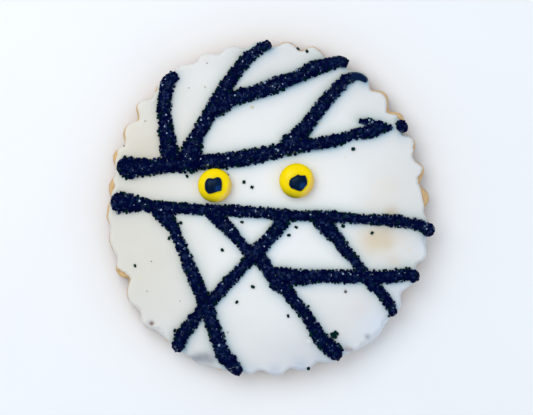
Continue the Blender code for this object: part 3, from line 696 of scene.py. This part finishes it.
def band_dome(routes, x, y):
    """Height of the piped icing above the white icing, and how far out across the band, 1 at its side."""
    best = np.full(x.shape, -1.0)
    out = np.full(x.shape, np.inf)
    for route in routes:
        gap = np.hypot(x[:, None] - route[None, :, 0], y[:, None] - route[None, :, 1])
        nearest = gap.argmin(axis=1)
        half = route[nearest, 2]
        share = gap[np.arange(len(x)), nearest] / half
        rise = BAND_BASE_RISE + BAND_RISE * half - SUGAR_COAT
        best = np.maximum(best, rise * np.sqrt(np.clip(1 - share * share, 0.0, 1.0)))
        out = np.minimum(out, share)
    return best, out


def slopes(surface, x, y):
    """How steeply a surface rises along x and along y."""
    along_x = (surface(x + SLOPE_STEP, y) - surface(x - SLOPE_STEP, y)) / (2 * SLOPE_STEP)
    along_y = (surface(x, y + SLOPE_STEP) - surface(x, y - SLOPE_STEP)) / (2 * SLOPE_STEP)
    return along_x, along_y


def sugared_places(names, draw):
    """Places for sugar over these bands, no closer to each other than the spacing, each with the direction of
    the surface and how far out across the band it lies."""
    routes = sugared_routes(names)
    stops = np.array([stop for name in names for stop in BANDS[name]])
    low, high = stops[:, :2].min(axis=0) - BAND_MARGIN, stops[:, :2].max(axis=0) + BAND_MARGIN
    darts = int(DARTS_PER_MM2 * (high[0] - low[0]) * (high[1] - low[1]))
    x = draw.uniform(low[0], high[0], darts)
    y = draw.uniform(low[1], high[1], darts)
    near = band_dome(routes, x, y)[1] <= 1 + RAGGED_SHARE
    x, y = x[near], y[near]
    here, out = band_dome(routes, x, y)
    slope_x, slope_y = slopes(lambda x, y: band_dome(routes, x, y)[0], x, y)
    taken, places = {}, []
    for i in range(len(x)):
        limit = SUGAR_LIMIT + RAGGED_SHARE * ripple(x[i], y[i], 0.0, RAGGED_SIZE, 6.0)
        if out[i] > limit + (RIM_LIMIT - limit) * over_rim(x[i], y[i]):
            continue
        place = Vector((x[i], y[i], icing_top(x[i], y[i]) + here[i]))
        cell = tuple(int(v // CRYSTAL_SPACING) for v in place)
        others = [
            other
            for dx in (-1, 0, 1) for dy in (-1, 0, 1) for dz in (-1, 0, 1)
            for other in taken.get((cell[0] + dx, cell[1] + dy, cell[2] + dz), ())
        ]
        if any((other - place).length < CRYSTAL_SPACING for other in others):
            continue
        taken.setdefault(cell, []).append(place)
        tilt_x, tilt_y = slopes(icing_top, x[i], y[i])
        normal = Vector((-slope_x[i] - tilt_x, -slope_y[i] - tilt_y, 1.0)).normalized()
        places.append((place, normal, out[i]))
    return places


def block_template():
    """A unit block with cut edges and corners: points from -1 to 1, and faces that look out."""
    inner = 1 - 2 * CRYSTAL_CHAMFER
    signs = (-1, 1)
    points, faces, number = [], [], {}

    def corner(axis, *values):
        """Three values, given from this axis onwards, in the order x, y, z."""
        return tuple(values[(k - axis) % 3] for k in range(3))

    for axis in range(3):
        for along, u, v in product(signs, repeat=3):
            number[axis, corner(axis, along, u, v)] = len(points)
            points.append(corner(axis, float(along), inner * u, inner * v))
    for axis in range(3):
        for along in signs:
            square = ((-1, -1), (1, -1), (1, 1), (-1, 1))
            faces.append([number[axis, corner(axis, along, u, v)] for u, v in square])
        for u, v in product(signs, repeat=2):
            strip = ((-1, 1), (-1, 2), (1, 2), (1, 1))
            faces.append([number[(axis + side) % 3, corner(axis, end, u, v)] for end, side in strip])
    for signs_here in product(signs, repeat=3):
        faces.append([number[axis, signs_here] for axis in range(3)])
    outward = []
    for face in faces:
        corners = [Vector(points[i]) for i in face]
        normal = (corners[1] - corners[0]).cross(corners[2] - corners[0])
        middle = sum(corners, Vector()) / len(corners)
        outward.append(tuple(face) if normal.dot(middle) > 0 else tuple(reversed(face)))
    return points, outward


def crystal_points(place, normal, length, template, draw):
    """One sugar crystal: a block of its own proportions, tilted and turned on the surface in its own way."""
    width = length * draw.uniform(*CRYSTAL_WIDTH)
    height = length * draw.uniform(*CRYSTAL_FLATNESS)
    upright = UP.rotation_difference(normal).to_matrix()
    lean_towards = draw.uniform(0, 2 * math.pi)
    lean_axis = Vector((math.cos(lean_towards), math.sin(lean_towards), 0))
    lean = Matrix.Rotation(math.radians(abs(draw.normal(0, CRYSTAL_TILT))), 3, lean_axis)
    spin = Matrix.Rotation(draw.uniform(0, 2 * math.pi), 3, "Z")
    frame = upright @ lean @ spin
    sizes = np.array((length, width, height)) / 2
    shape = template * sizes * draw.uniform(*CRYSTAL_UNEVENNESS, template.shape)
    turned = shape @ np.array(frame).T
    lift = CRYSTAL_RISE * draw.uniform(0, 1) ** 2 - CRYSTAL_SINK
    return turned + np.array(place) + np.array(normal) * lift


def grain_piece(name, grains, materials, slot, draw):
    """Grains in one mesh, each with a place, a direction, a length and a tone, which goes into an attribute.
    Where there is a second material, a few of the grains have it."""
    points, faces = block_template()
    template = np.array(points)
    blocks = [crystal_points(place, normal, length, template, draw) for place, normal, length, _ in grains]
    starts = range(0, len(blocks) * len(points), len(points))
    all_faces = [tuple(start + i for i in face) for start in starts for face in faces]
    obj = mesh_object(name, np.concatenate(blocks), all_faces, materials[0], slot, smooth=False)
    carry(obj, "tone", np.repeat([grain[3] for grain in grains], len(points)))
    if len(materials) > 1:
        obj.data.materials.append(materials[1])
        glinting = np.repeat(draw.uniform(0, 1, len(grains)) < GLINT_SHARE, len(faces))
        obj.data.polygons.foreach_set("material_index", glinting.astype(np.int32))
    return obj


def sugar_piece(group, names, materials, draw):
    """The sugar coat over these bands, with greener crystals along their sides."""
    grains = []
    for place, normal, out in sugared_places(names, draw):
        green = out > GREEN_FROM and draw.uniform(0, 1) < GREEN_SHARE
        tone = draw.uniform(*GREEN_TONES) if green else draw.uniform(GREEN_TONES[1], 1)
        grains.append((place, normal, draw.uniform(*CRYSTAL_LENGTH), tone))
    return grain_piece(f"sugar_{group}", grains, materials, "black_icing", draw)


def loose_sugar_piece(materials, draw):
    """Single crystals that fell beside the bands."""
    grains = []
    for x, y in CRYSTAL_SPOTS:
        place = Vector((x, y, icing_top(x, y) + LOOSE_LIFT))
        grains.append((place, UP, draw.uniform(*LOOSE_LENGTH), draw.uniform(*GREEN_TONES)))
    return grain_piece("loose_sugar", grains, materials[:1], "black_icing", draw)


def crumb_specks_piece(material, draw):
    """Biscuit crumbs and specks half sunk in the icing."""
    grains = [(Vector((x, y, icing_top(x, y))), UP, size, tone) for x, y, size, tone in CRUMB_SPOTS]
    return grain_piece("crumb_specks", grains, [material], "biscuit", draw)


def candy_centre(side):
    x, y, _ = CANDIES[side]
    return x, y, ICING_TOP - CANDY_SINK + CANDY_HALF_HEIGHT


def candy_piece(side, material):
    """A candy shell: a full-edged lens, not quite true, seated in the icing. Its attributes carry painted
    light: an orange-tan crescent of shade and bounce light along one side of the rim, painted highlights on
    top, and painted shade along the lower rim."""
    x, y, z = candy_centre(side)
    radius = CANDIES[side][2]
    size, wobbling = CANDY_WOBBLE
    rings, bounce_lit, pale, painted_shade = [], [], [], []
    for r in range(CANDY_RINGS):
        turn = math.pi * ((r + 0.5) / CANDY_RINGS - 0.5)
        out = radius * abs(math.cos(turn)) ** (2 / CANDY_FULLNESS)
        up = math.copysign(CANDY_HALF_HEIGHT * abs(math.sin(turn)) ** (2 / CANDY_FULLNESS), turn)
        share = out / radius
        rim = held((share - BOUNCE_FROM) / (1 - BOUNCE_FROM))
        lower = held((share - SHADE_FROM) / (1 - SHADE_FROM)) ** SHADE_POWER
        ring = []
        for s in range(CANDY_SEGMENTS):
            angle = 360 * s / CANDY_SEGMENTS
            px, py, pz = around(angle, out, up)
            wobble = 1 + wobbling * ripple(px + x, py + y, pz, size)
            ring.append((x + px * wobble, y + py * wobble, z + pz * wobble))
            bounce_lit.append(rim * bell(turned_from(angle, BOUNCE_TOWARDS), BOUNCE_SPREAD))
            painted_shade.append(lower * bell(turned_from(angle, SHADE_TOWARDS), SHADE_SPREAD))
            pale.append(sum(
                strength * bell(turned_from(angle, towards), spread) * bell(share - at, width)
                for towards, spread, at, width, strength in PAINTED_HIGHLIGHTS
            ))
        rings.append(ring)
    obj = mesh_object(f"candy_shell_{side}", *closed_rings(rings), material, "candy")
    for name, values in (("bounce_lit", bounce_lit), ("pale", pale), ("painted_shade", painted_shade)):
        carry(obj, name, values + [0.0, 0.0])
    return obj


def candy_height(side, x, y):
    """Height of the candy's upper face over the point x, y measured from its centre."""
    radius = CANDIES[side][2]
    share = min(math.hypot(x, y) / radius, CANDY_EDGE) ** CANDY_FULLNESS
    return candy_centre(side)[2] + CANDY_HALF_HEIGHT * (1 - share) ** (1 / CANDY_FULLNESS)


def closed_route(stops):
    """A smooth closed curve through these stops."""
    count, curve = len(stops), []
    for i in range(count):
        four = [stops[(i + k) % count] for k in (-1, 0, 1, 2)]
        curve += [tuple(curved(four, j / SAMPLES_PER_STOP)) for j in range(SAMPLES_PER_STOP)]
    return curve


def pupil_piece(side, material):
    """A drop of black icing on the candy, domed and uneven, with its lower edge sunk into the shell."""
    edge = closed_route(PUPILS[side])[::-1]
    middle = Vector([sum(values) / len(edge) for values in zip(*edge)])
    centre = candy_centre(side)
    size, bumpiness = PUPIL_BUMPS
    profile = [PUPIL_SUNK, (1.0, 0.0)]
    for i in range(1, PUPIL_RINGS):
        share = i / PUPIL_RINGS
        dome = math.sqrt(1 - (1 - share) ** PUPIL_DOME)
        profile.append((1 - share ** PUPIL_SHRINK, PUPIL_HEIGHT * dome))
    rings = []
    for scale, lift in profile:
        ring = []
        for point in edge:
            px, py = middle + (Vector(point) - middle) * scale
            bump = bumpiness * ripple(px, py, 0.0, size, 4.0) * min(lift, 1.0)
            ring.append((centre[0] + px, centre[1] + py, candy_height(side, px, py) + lift + bump))
        rings.append(ring)
    points, faces = closed_rings(rings)
    obj = mesh_object(f"pupil_drop_{side}", points, faces, material, "black_icing")
    # Where the painted blue glint sits
    glint_centre = Vector((centre[0], centre[1])) + middle + Vector(GLINT_PLACE)
    carry(obj, "painted_glint", [bell(math.dist(point[:2], glint_centre), GLINT_SPREAD) for point in points])
    return obj


class Nodes:
    """A material's node tree, with a short call for each kind of node it takes."""

    def __init__(self, name, colour, roughness):
        self.material = bpy.data.materials.new(name)
        self.material.use_nodes = True
        self.tree = self.material.node_tree
        self.shader = self.tree.nodes["Principled BSDF"]
        self.shader.inputs["Base Color"].default_value = (*colour, 1.0)
        self.shader.inputs["Roughness"].default_value = roughness
        self.material.diffuse_color = (*colour, 1.0)
        self.place = self.tree.nodes.new("ShaderNodeTexCoord").outputs["Object"]

    def set(self, **values):
        for key, value in values.items():
            self.shader.inputs[key.replace("_", " ")].default_value = value

    def link(self, output, socket):
        self.tree.links.new(output, socket)

    def drive(self, **outputs):
        """Let these outputs drive the shader's sockets."""
        for key, output in outputs.items():
            self.link(output, self.shader.inputs[key.replace("_", " ")])

    def grain(self, size, detail=3.0, roughness=0.5):
        """Noise with features of this size in millimetres, 0 to 1."""
        node = self.tree.nodes.new("ShaderNodeTexNoise")
        node.inputs["Scale"].default_value = 1 / (size * MM)
        node.inputs["Detail"].default_value = detail
        node.inputs["Roughness"].default_value = roughness
        self.link(self.place, node.inputs["Vector"])
        return node.outputs["Fac"]

    def cells(self, size):
        """Distance from the middles of cells of this size in millimetres."""
        node = self.tree.nodes.new("ShaderNodeTexVoronoi")
        node.inputs["Scale"].default_value = 1 / (size * MM)
        self.link(self.place, node.inputs["Vector"])
        return node.outputs["Distance"]

    def attribute(self, name, output="Fac"):
        node = self.tree.nodes.new("ShaderNodeAttribute")
        node.attribute_name = name
        return node.outputs[output]

    def ramp(self, value, stops):
        """Colours at positions along the value."""
        node = self.tree.nodes.new("ShaderNodeValToRGB")
        elements = node.color_ramp.elements
        while len(elements) < len(stops):
            elements.new(0.5)
        for element, (position, colour) in zip(elements, stops):
            element.position = position
            element.color = (*colour, 1.0)
        self.link(value, node.inputs["Fac"])
        return node.outputs["Color"]

    def span(self, value, from_low, from_high, to_low=0.0, to_high=1.0):
        """The value carried from one range to another, smoothed and held at the ends."""
        node = self.tree.nodes.new("ShaderNodeMapRange")
        node.interpolation_type = "SMOOTHSTEP"
        limits = {"From Min": from_low, "From Max": from_high, "To Min": to_low, "To Max": to_high}
        for key, number in limits.items():
            node.inputs[key].default_value = number
        self.link(value, node.inputs["Value"])
        return node.outputs["Result"]

    def mix(self, share, first, second, blend="MIX"):
        """Two colours mixed; each is an output or a plain colour."""
        node = self.tree.nodes.new("ShaderNodeMix")
        node.data_type = "RGBA"
        node.blend_type = blend
        for key, value in (("Factor", share), ("A", first), ("B", second)):
            socket = node.inputs[key]
            if isinstance(value, bpy.types.NodeSocket):
                self.link(value, socket)
            elif isinstance(value, tuple):
                socket.default_value = (*value, 1.0)
            else:
                socket.default_value = value
        return node.outputs["Result"]

    def relief(self, strength, distance, size, below=None, **kind):
        """Bump over this distance in millimetres, from grains of this size."""
        height = self.grain(size, **kind)
        node = self.tree.nodes.new("ShaderNodeBump")
        node.inputs["Strength"].default_value = strength
        node.inputs["Distance"].default_value = distance * MM
        self.link(height, node.inputs["Height"])
        if below is not None:
            self.link(below, node.inputs["Normal"])
        return node.outputs["Normal"]

    def height_split(self):
        node = self.tree.nodes.new("ShaderNodeSeparateXYZ")
        self.link(self.place, node.inputs["Vector"])
        return node.outputs["Z"]


def biscuit_material():
    """Baked crumb: pale gold, browned low on the side and the base, with dark pores and toasted freckles."""
    nodes = Nodes("baked_crumb", (0.62, 0.42, 0.22), 0.85)
    nodes.set(Specular_IOR_Level=0.25)
    height = nodes.height_split()
    baked = nodes.ramp(
        nodes.span(height, 0.0, BISCUIT_HEIGHT * MM),
        (
            (0.0, (0.30, 0.15, 0.055)), (0.2, (0.50, 0.29, 0.12)), (0.6, (0.62, 0.40, 0.19)),
            (1.0, (0.68, 0.45, 0.22)),
        ),
    )
    freckles = nodes.span(nodes.grain(2.2, detail=4.0), 0.52, 0.75)
    mottled = nodes.mix(freckles, baked, nodes.mix(0.55, baked, (0.36, 0.18, 0.06)))
    pale = nodes.span(nodes.grain(0.8, detail=2.0), 0.55, 0.8, 0.0, 0.5)
    sandy = nodes.mix(pale, mottled, (0.80, 0.62, 0.38))
    pores = nodes.span(nodes.cells(0.9), 0.05, 0.22, 0.65, 0.0)
    coarse = nodes.relief(0.6, 0.25, 0.9, detail=5.0, roughness=0.65)
    fine = nodes.relief(0.4, 0.1, 0.3, coarse)
    nodes.drive(Base_Color=nodes.mix(pores, sandy, (0.25, 0.12, 0.04)), Normal=fine)
    return nodes.material


def icing_material():
    """Set white icing: a soft sheen, faint clouding, tiny pinholes and the tints that the mesh carries, which
    are stains, painted shade and painted bounce light.
    """
    nodes = Nodes("set_icing", (0.80, 0.80, 0.79), 0.42)
    nodes.set(
        Subsurface_Weight=0.25, Subsurface_Radius=(1.0, 0.9, 0.8), Subsurface_Scale=0.0012,
        Specular_IOR_Level=0.3,
    )
    stains_and_shade = nodes.attribute("stains_and_shade", "Color")
    cloud = nodes.ramp(nodes.grain(9.0, detail=4.0), ((0.3, (0.965, 0.965, 0.96)), (0.7, (1.0, 1.0, 1.0))))
    clouded = nodes.mix(1.0, stains_and_shade, cloud, "MULTIPLY")
    pinholes = nodes.span(nodes.cells(1.7), 0.02, 0.07, 0.35, 0.0)
    fine = nodes.relief(0.12, 0.06, 0.5)
    nodes.drive(
        Base_Color=nodes.mix(pinholes, clouded, (0.62, 0.60, 0.55)),
        Roughness=nodes.span(nodes.grain(4.0), 0.3, 0.7, 0.36, 0.5),
        Normal=nodes.relief(0.25, 0.12, 2.6, fine, detail=2.0),
    )
    return nodes.material


def black_icing_material():
    """Set black icing with a blue cast, as dyed icing has."""
    nodes = Nodes("black_icing", (0.0005, 0.009, 0.045), 0.4)
    nodes.set(Specular_IOR_Level=0.08)
    shade = nodes.ramp(nodes.grain(1.2), ((0.35, (0.0004, 0.008, 0.042)), (0.75, (0.0008, 0.013, 0.060))))
    nodes.drive(Base_Color=shade, Normal=nodes.relief(0.15, 0.08, 0.8))
    return nodes.material


def sugar_material(name, lift, roughness, **gloss):
    """Black sanding sugar: each block is bluer, greener or paler than the next. lift lightens them all, and
    on the glinting crystals it is a painted sheen.
    """
    nodes = Nodes(name, (0.001, 0.004, 0.03), roughness)
    nodes.set(**gloss)
    green, teal, pale = (0.001, 0.026, 0.020), (0.0008, 0.0150, 0.0150), (0.012, 0.022, 0.080)
    navy, blue = (0.0002, 0.0012, 0.025), (0.0003, 0.0030, 0.040)
    stops = ((0.0, green), (0.12, teal), (0.2, navy), (0.6, blue), (0.86, navy), (0.91, pale), (1.0, pale))
    shade = nodes.ramp(nodes.attribute("tone"), stops)
    clouds = nodes.span(nodes.grain(0.35), 0.45, 0.75, lift, lift + 0.02)
    nodes.drive(
        Base_Color=nodes.mix(clouds, shade, (0.03, 0.045, 0.11)),
        Roughness=nodes.span(nodes.grain(0.6), 0.3, 0.7, roughness * 0.8, roughness * 1.2),
        Normal=nodes.relief(0.15, 0.03, 0.25),
    )
    return nodes.material


def specks_material():
    """Crumbs from grey over tan and yellow to nearly black, by their tone."""
    nodes = Nodes("specks", (0.5, 0.38, 0.2), 0.8)
    shade = nodes.ramp(nodes.attribute("tone"), (
        (0.0, (0.34, 0.31, 0.34)), (0.2, (0.45, 0.40, 0.36)), (0.4, (0.70, 0.61, 0.43)),
        (0.6, (0.80, 0.73, 0.45)), (0.9, (0.10, 0.09, 0.10)), (1.0, (0.06, 0.06, 0.07)),
    ))
    mottling = nodes.span(nodes.grain(0.2), 0.4, 0.7, 0.0, 0.3)
    nodes.drive(Base_Color=nodes.mix(mottling, shade, (0.8, 0.76, 0.68)))
    return nodes.material


def candy_material():
    """A sugar shell in yellow with a soft polish, slightly uneven in colour, with painted highlights on top,
    painted shade along its lower rim, and a painted orange-tan crescent of shade and bounce light along one
    side.
    """
    nodes = Nodes("yellow_shell", (0.97, 0.73, 0.001), 0.28)
    nodes.set(Specular_IOR_Level=0.07)
    yellows = ((0.3, (0.96, 0.69, 0.0005)), (0.75, (1.0, 0.76, 0.001)))
    shade = nodes.ramp(nodes.grain(2.5, detail=2.0), yellows)
    # Painted highlights: the lighter patches on top
    paler = nodes.mix(nodes.attribute("pale"), shade, (1.0, 0.89, 0.15))
    # Painted shade along the lower rim
    shaded = nodes.mix(nodes.attribute("painted_shade"), paler, (0.20, 0.185, 0.005))
    # Painted shade and bounce light: the orange-tan crescent along the lower right rim
    bounce_lit = nodes.span(nodes.attribute("bounce_lit"), 0.05, 0.42, 0.0, 0.95)
    nodes.drive(
        Base_Color=nodes.mix(bounce_lit, shaded, (0.84, 0.56, 0.11)),
        Roughness=nodes.span(nodes.grain(1.5), 0.3, 0.7, 0.24, 0.32),
        Normal=nodes.relief(0.05, 0.06, 1.3, detail=2.0),
    )
    return nodes.material


def pupil_material():
    """Drops of blue-black icing with a soft gloss, and a painted blue glint towards the lower right."""
    nodes = Nodes("pupil_icing", (0.0008, 0.005, 0.024), 0.3)
    nodes.set(Specular_IOR_Level=0.20, Specular_Tint=(0.50, 0.85, 1.0, 1.0))
    shade = nodes.ramp(nodes.grain(2.4), ((0.35, (0.0004, 0.0055, 0.026)), (0.7, (0.0008, 0.011, 0.046))))
    # Painted glint: the bluer patch towards the lower right
    painted_glint = nodes.span(nodes.attribute("painted_glint"), 0.1, 0.9)
    nodes.drive(
        Base_Color=nodes.mix(painted_glint, shade, (0.0008, 0.028, 0.130)),
        Roughness=nodes.span(nodes.grain(0.8), 0.3, 0.7, 0.26, 0.36),
        Normal=nodes.relief(0.08, 0.06, 1.0),
    )
    return nodes.material


# Colour of the icing where nothing tints it, then tints: x, y, radius, strength and colour. Besides stains,
# marks and
# specks they hold painted shade: warm on the left, bluish along the lower right rim, grey and blue at the
# bottom rim, in and beside the crater and the pit, and in the fold at the lower left
ICING_WHITE = (0.895, 0.890, 0.872)
# Painted shade, warm and darker, over the left side of the icing
WARM_SHADE = (0.80, 0.75, 0.62)
DEEP_WARM_SHADE = (0.70, 0.66, 0.56)
STAIN = (0.62, 0.46, 0.26)
# Painted shade, bluish along the lower right rim and deeper blue at the bottom rim
BLUE_SHADE = (0.68, 0.75, 0.86)
RIM_BLUE_SHADE = (0.50, 0.56, 0.66)
# Painted shade in the fold of the icing at the lower left
FOLD_SHADE = (0.26, 0.27, 0.31)
STAINS_AND_PAINTED_SHADE = (
    # First the painted warm shade on the left side of the icing
    (-40.0, 18.0, 21.0, 0.65, WARM_SHADE), (-35.0, 16.0, 8.0, 0.55, WARM_SHADE), (-38.0, -14.0, 18.0, 0.45, WARM_SHADE),
    (-34.0, 15.5, 6.5, 0.55, (0.69, 0.62, 0.52)), (-30.0, -24.0, 12.0, 0.25, DEEP_WARM_SHADE),
    (-37.0, -10.0, 16.0, 0.45, DEEP_WARM_SHADE), (-18.0, 42.0, 14.0, 0.12, WARM_SHADE),
    (-20.0, 36.0, 8.0, 0.40, (0.85, 0.85, 0.83)), (38.0, 3.0, 10.0, 0.25, (0.70, 0.68, 0.64)),
    (22.0, -28.0, 9.0, 0.22, (0.72, 0.69, 0.65)), (34.0, -0.9, 1.9, 0.50, STAIN),
    (29.5, -8.5, 4.4, 0.82, (0.72, 0.59, 0.39)), (33.0, -6.5, 2.2, 0.35, STAIN),
    (33.2, -9.6, 1.6, 0.40, (0.66, 0.52, 0.26)), (34.8, -14.0, 1.9, 0.36, (0.72, 0.58, 0.44)),
    (32.5, 5.8, 5.0, 0.32, (0.76, 0.68, 0.54)), (34.2, -8.5, 2.6, 0.30, (0.72, 0.58, 0.46)),
    (37.0, -7.0, 3.5, 0.35, (0.76, 0.69, 0.60)), (29.0, 0.5, 3.0, 0.30, (0.74, 0.68, 0.58)),
    (-35.1, -18.7, 0.7, 0.30, (0.74, 0.71, 0.45)), (13.4, 11.2, 0.45, 0.30, (0.76, 0.72, 0.45)),
    (39.1, -11.3, 0.5, 0.35, (0.72, 0.62, 0.42)), (35.8, -14.9, 0.5, 0.35, (0.70, 0.66, 0.36)),
    (25.5, -28.0, 2.6, 0.22, (0.74, 0.62, 0.56)), (31.0, -32.5, 6.0, 0.60, BLUE_SHADE),
    (39.0, -23.0, 4.0, 0.50, BLUE_SHADE), (44.5, -10.0, 3.0, 0.50, BLUE_SHADE), (22.0, -40.5, 4.0, 0.40, BLUE_SHADE),
    (7.0, -41.0, 9.0, 0.35, (0.60, 0.61, 0.65)), (9.3, -43.4, 2.6, 0.75, RIM_BLUE_SHADE),
    (2.0, -44.6, 2.2, 0.60, RIM_BLUE_SHADE), (14.5, -41.8, 2.4, 0.45, RIM_BLUE_SHADE),
    (-3.5, -44.0, 2.0, 0.35, RIM_BLUE_SHADE), (21.9, -38.4, 0.8, 0.55, (0.34, 0.24, 0.24)),
    (23.1, -38.7, 0.8, 0.55, (0.34, 0.24, 0.24)), (28.0, -35.3, 0.8, 0.45, (0.50, 0.56, 0.58)),
    (27.5, -35.2, 0.5, 0.55, (0.36, 0.41, 0.43)), (26.8, -34.8, 0.6, 0.25, (0.50, 0.54, 0.60)),
    (11.5, -36.3, 0.5, 0.60, (0.98, 0.98, 0.90)), (-32.6, -31.4, 0.8, 0.20, (0.42, 0.36, 0.42)),
    (-31.7, -31.5, 0.60, 1.00, (0.14, 0.06, 0.03)), (-20.4, -41.4, 1.4, 0.68, FOLD_SHADE),
    (-18.6, -40.9, 1.45, 0.75, FOLD_SHADE), (-16.8, -40.8, 1.45, 0.75, FOLD_SHADE), (-15.2, -41.5, 1.3, 0.56, FOLD_SHADE),
)
# Painted bounce light on the icing beside the candies' orange rims, where the yellow shells throw light into
# their shade: colour, radius and strength of a spot, and degrees between spots
BOUNCE_COLOUR = (0.82, 0.62, 0.34)
BOUNCE_RADIUS = 0.7
BOUNCE_STRENGTH = 0.3
BOUNCE_STEP = 28
# Painted shadow beside the bands: the white is darkened next to them, greyer above and to the left, bluer
# below and to the
# right: the direction, how far it reaches, and the share of each colour that is left at the band
SHADE_BESIDE_BANDS = ((135.0, 1.3, (0.61, 0.71, 0.67)), (-45.0, 1.05, (0.32, 0.58, 0.76)))
# Painted shade: the icing is darkened towards the rim, by this share there
RIM_SHADE_SHARE = 0.18
POINTS_AT_ONCE = 4096


def beside_bands(places):
    """How far each point lies from the nearest band's side, and its direction from there in degrees."""
    route = np.concatenate([smooth_route(stops, BAND_STEP) for stops in BANDS.values()])
    gaps, towards = np.empty(len(places)), np.empty(len(places))
    for start in range(0, len(places), POINTS_AT_ONCE):
        block = slice(start, start + POINTS_AT_ONCE)
        off_x = places[block, 0][:, None] - route[None, :, 0]
        off_y = places[block, 1][:, None] - route[None, :, 1]
        clear = np.hypot(off_x, off_y) - route[None, :, 2]
        nearest = clear.argmin(axis=1)
        rows = np.arange(len(nearest))
        gaps[block] = clear[rows, nearest]
        towards[block] = np.degrees(np.arctan2(off_y[rows, nearest], off_x[rows, nearest]))
    return np.maximum(gaps, 0.0), towards


def add_tints(icing):
    """The icing's colour at each point, from its plain white, the stains over it, and painted shade and
    bounce light.
    """
    mesh = icing.data
    places = np.empty(len(mesh.vertices) * 3)
    mesh.vertices.foreach_get("co", places)
    places = places.reshape(-1, 3) / MM
    # Painted shade towards the rim
    rim_shaded = 1 - RIM_SHADE_SHARE * (np.hypot(places[:, 0], places[:, 1]) / BISCUIT_RADIUS) ** 2
    colours = np.array(ICING_WHITE) * rim_shaded[:, None]
    gaps, towards = beside_bands(places)
    # Painted shadow beside the bands
    for direction, reach, left in SHADE_BESIDE_BANDS:
        facing = 0.5 + 0.5 * np.cos(np.radians(towards - direction))
        colours *= 1 - (facing * np.exp(-gaps / reach))[:, None] * (1 - np.array(left))
    stains_and_light_spots = list(STAINS_AND_PAINTED_SHADE)
    # Painted bounce light beside each candy
    for candy_x, candy_y, candy_radius in CANDIES.values():
        for towards in (BOUNCE_TOWARDS - BOUNCE_STEP, BOUNCE_TOWARDS, BOUNCE_TOWARDS + BOUNCE_STEP):
            x, y, _ = around(towards, candy_radius, 0.0)
            stains_and_light_spots.append((candy_x + x, candy_y + y, BOUNCE_RADIUS, BOUNCE_STRENGTH, BOUNCE_COLOUR))
    for x, y, radius, strength, colour in stains_and_light_spots:
        distance = np.hypot(places[:, 0] - x, places[:, 1] - y) / radius
        share = (strength * np.exp(-distance ** 2))[:, None]
        colours = colours * (1 - share) + np.array(colour) * share
    opaque = np.concatenate([colours, np.ones((len(colours), 1))], axis=1)
    mesh.attributes.new("stains_and_shade", "FLOAT_COLOR", "POINT").data.foreach_set("color", opaque.ravel())


FLOOR_HALF = 1.5
# Soft lights: place and size in metres, power and colour; and the light of the room
LIGHTS = {
    "key": ((-0.18, 0.17, 0.42), 0.36, 0.95, (1.0, 0.97, 0.93)),
    "cool": ((0.26, -0.22, 0.36), 0.50, 0.25, (0.80, 0.92, 1.0)),
}
ROOM_COLOUR = (0.8283, 0.9014, 1.0)
ROOM_STRENGTH = 0.798


def add_light(name, place, size, power, colour):
    """A soft square light that looks at the cookie."""
    data = bpy.data.lights.new(name, "AREA")
    data.shape = "SQUARE"
    data.size = size
    data.energy = power
    data.color = colour
    light = bpy.data.objects.new(name, data)
    light.visible_camera = False
    light.location = place
    light.rotation_euler = (-Vector(place)).to_track_quat("-Z", "Y").to_euler()
    bpy.context.scene.collection.objects.link(light)


def studio():
    """Floor, lights and the camera, which looks straight down on the icing with +Y at the top."""
    scene = bpy.context.scene
    nodes = Nodes("pale_floor", (0.90, 0.90, 0.90), 0.7)
    shade = nodes.ramp(nodes.grain(60.0), ((0.3, (0.89, 0.89, 0.89)), (0.7, (0.91, 0.91, 0.91))))
    nodes.drive(Base_Color=shade)
    mesh = bpy.data.meshes.new("floor")
    corners = [(FLOOR_HALF * x, FLOOR_HALF * y, 0) for x, y in ((-1, -1), (1, -1), (1, 1), (-1, 1))]
    mesh.from_pydata(corners, [], [(0, 1, 2, 3)])
    mesh.materials.append(nodes.material)
    floor = bpy.data.objects.new("floor", mesh)
    scene.collection.objects.link(floor)

    for name, values in LIGHTS.items():
        add_light(name, *values)
    world = bpy.data.worlds.new("studio")
    world.use_nodes = True
    room = world.node_tree.nodes["Background"]
    room.inputs["Color"].default_value = (*ROOM_COLOUR, 1.0)
    room.inputs["Strength"].default_value = ROOM_STRENGTH
    world.cycles_visibility.glossy = False
    scene.world = world
    scene.view_settings.view_transform = "Standard"

    data = bpy.data.cameras.new("photo_camera")
    data.lens = LENS
    data.sensor_width = SENSOR
    distance = LENS / SENSOR * FRAME_WIDTH * MM_PER_PIXEL
    camera = bpy.data.objects.new("photo_camera", data)
    aim_x = (FRAME_MIDDLE[0] - CENTRE_PIXEL[0]) * MM_PER_PIXEL
    aim_y = (CENTRE_PIXEL[1] - FRAME_MIDDLE[1]) * MM_PER_PIXEL
    camera.location = Vector((aim_x, aim_y, ICING_TOP + distance)) * MM
    scene.collection.objects.link(camera)
    scene.camera = camera


def build():
    draw = np.random.default_rng(SEED)
    black = black_icing_material()
    gloss = {"Specular_IOR_Level": 1.0, "IOR": 2.0, "Specular_Tint": GLINT_TINT}
    sugars = [
        sugar_material("black_sugar", 0.0, 0.4, Specular_IOR_Level=0.01),
        # The glinting crystals' lift is a painted sheen
        sugar_material("glinting_sugar", 0.05, 0.15, **gloss),
    ]

    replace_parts(biscuit_piece(biscuit_material()), "biscuit")
    icing = icing_piece(icing_material())
    add_tints(icing)
    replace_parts(icing, "icing")
    lower_bands = [name for name in BANDS if name not in UPPER_BANDS]
    for group, names in (("upper", UPPER_BANDS), ("lower", lower_bands)):
        points, faces = joined([band_core(name) for name in names])
        mesh_object(f"band_icing_{group}", points, faces, black, "black_icing")
        sugar_piece(group, names, sugars, draw)
    loose_sugar_piece(sugars, draw)
    crumb_specks_piece(specks_material(), draw)
    shell, drop = candy_material(), pupil_material()
    for side in CANDIES:
        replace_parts(candy_piece(side, shell), f"candy_{side}")
        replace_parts(pupil_piece(side, drop), f"pupil_{side}")
    studio()


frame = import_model()
build()
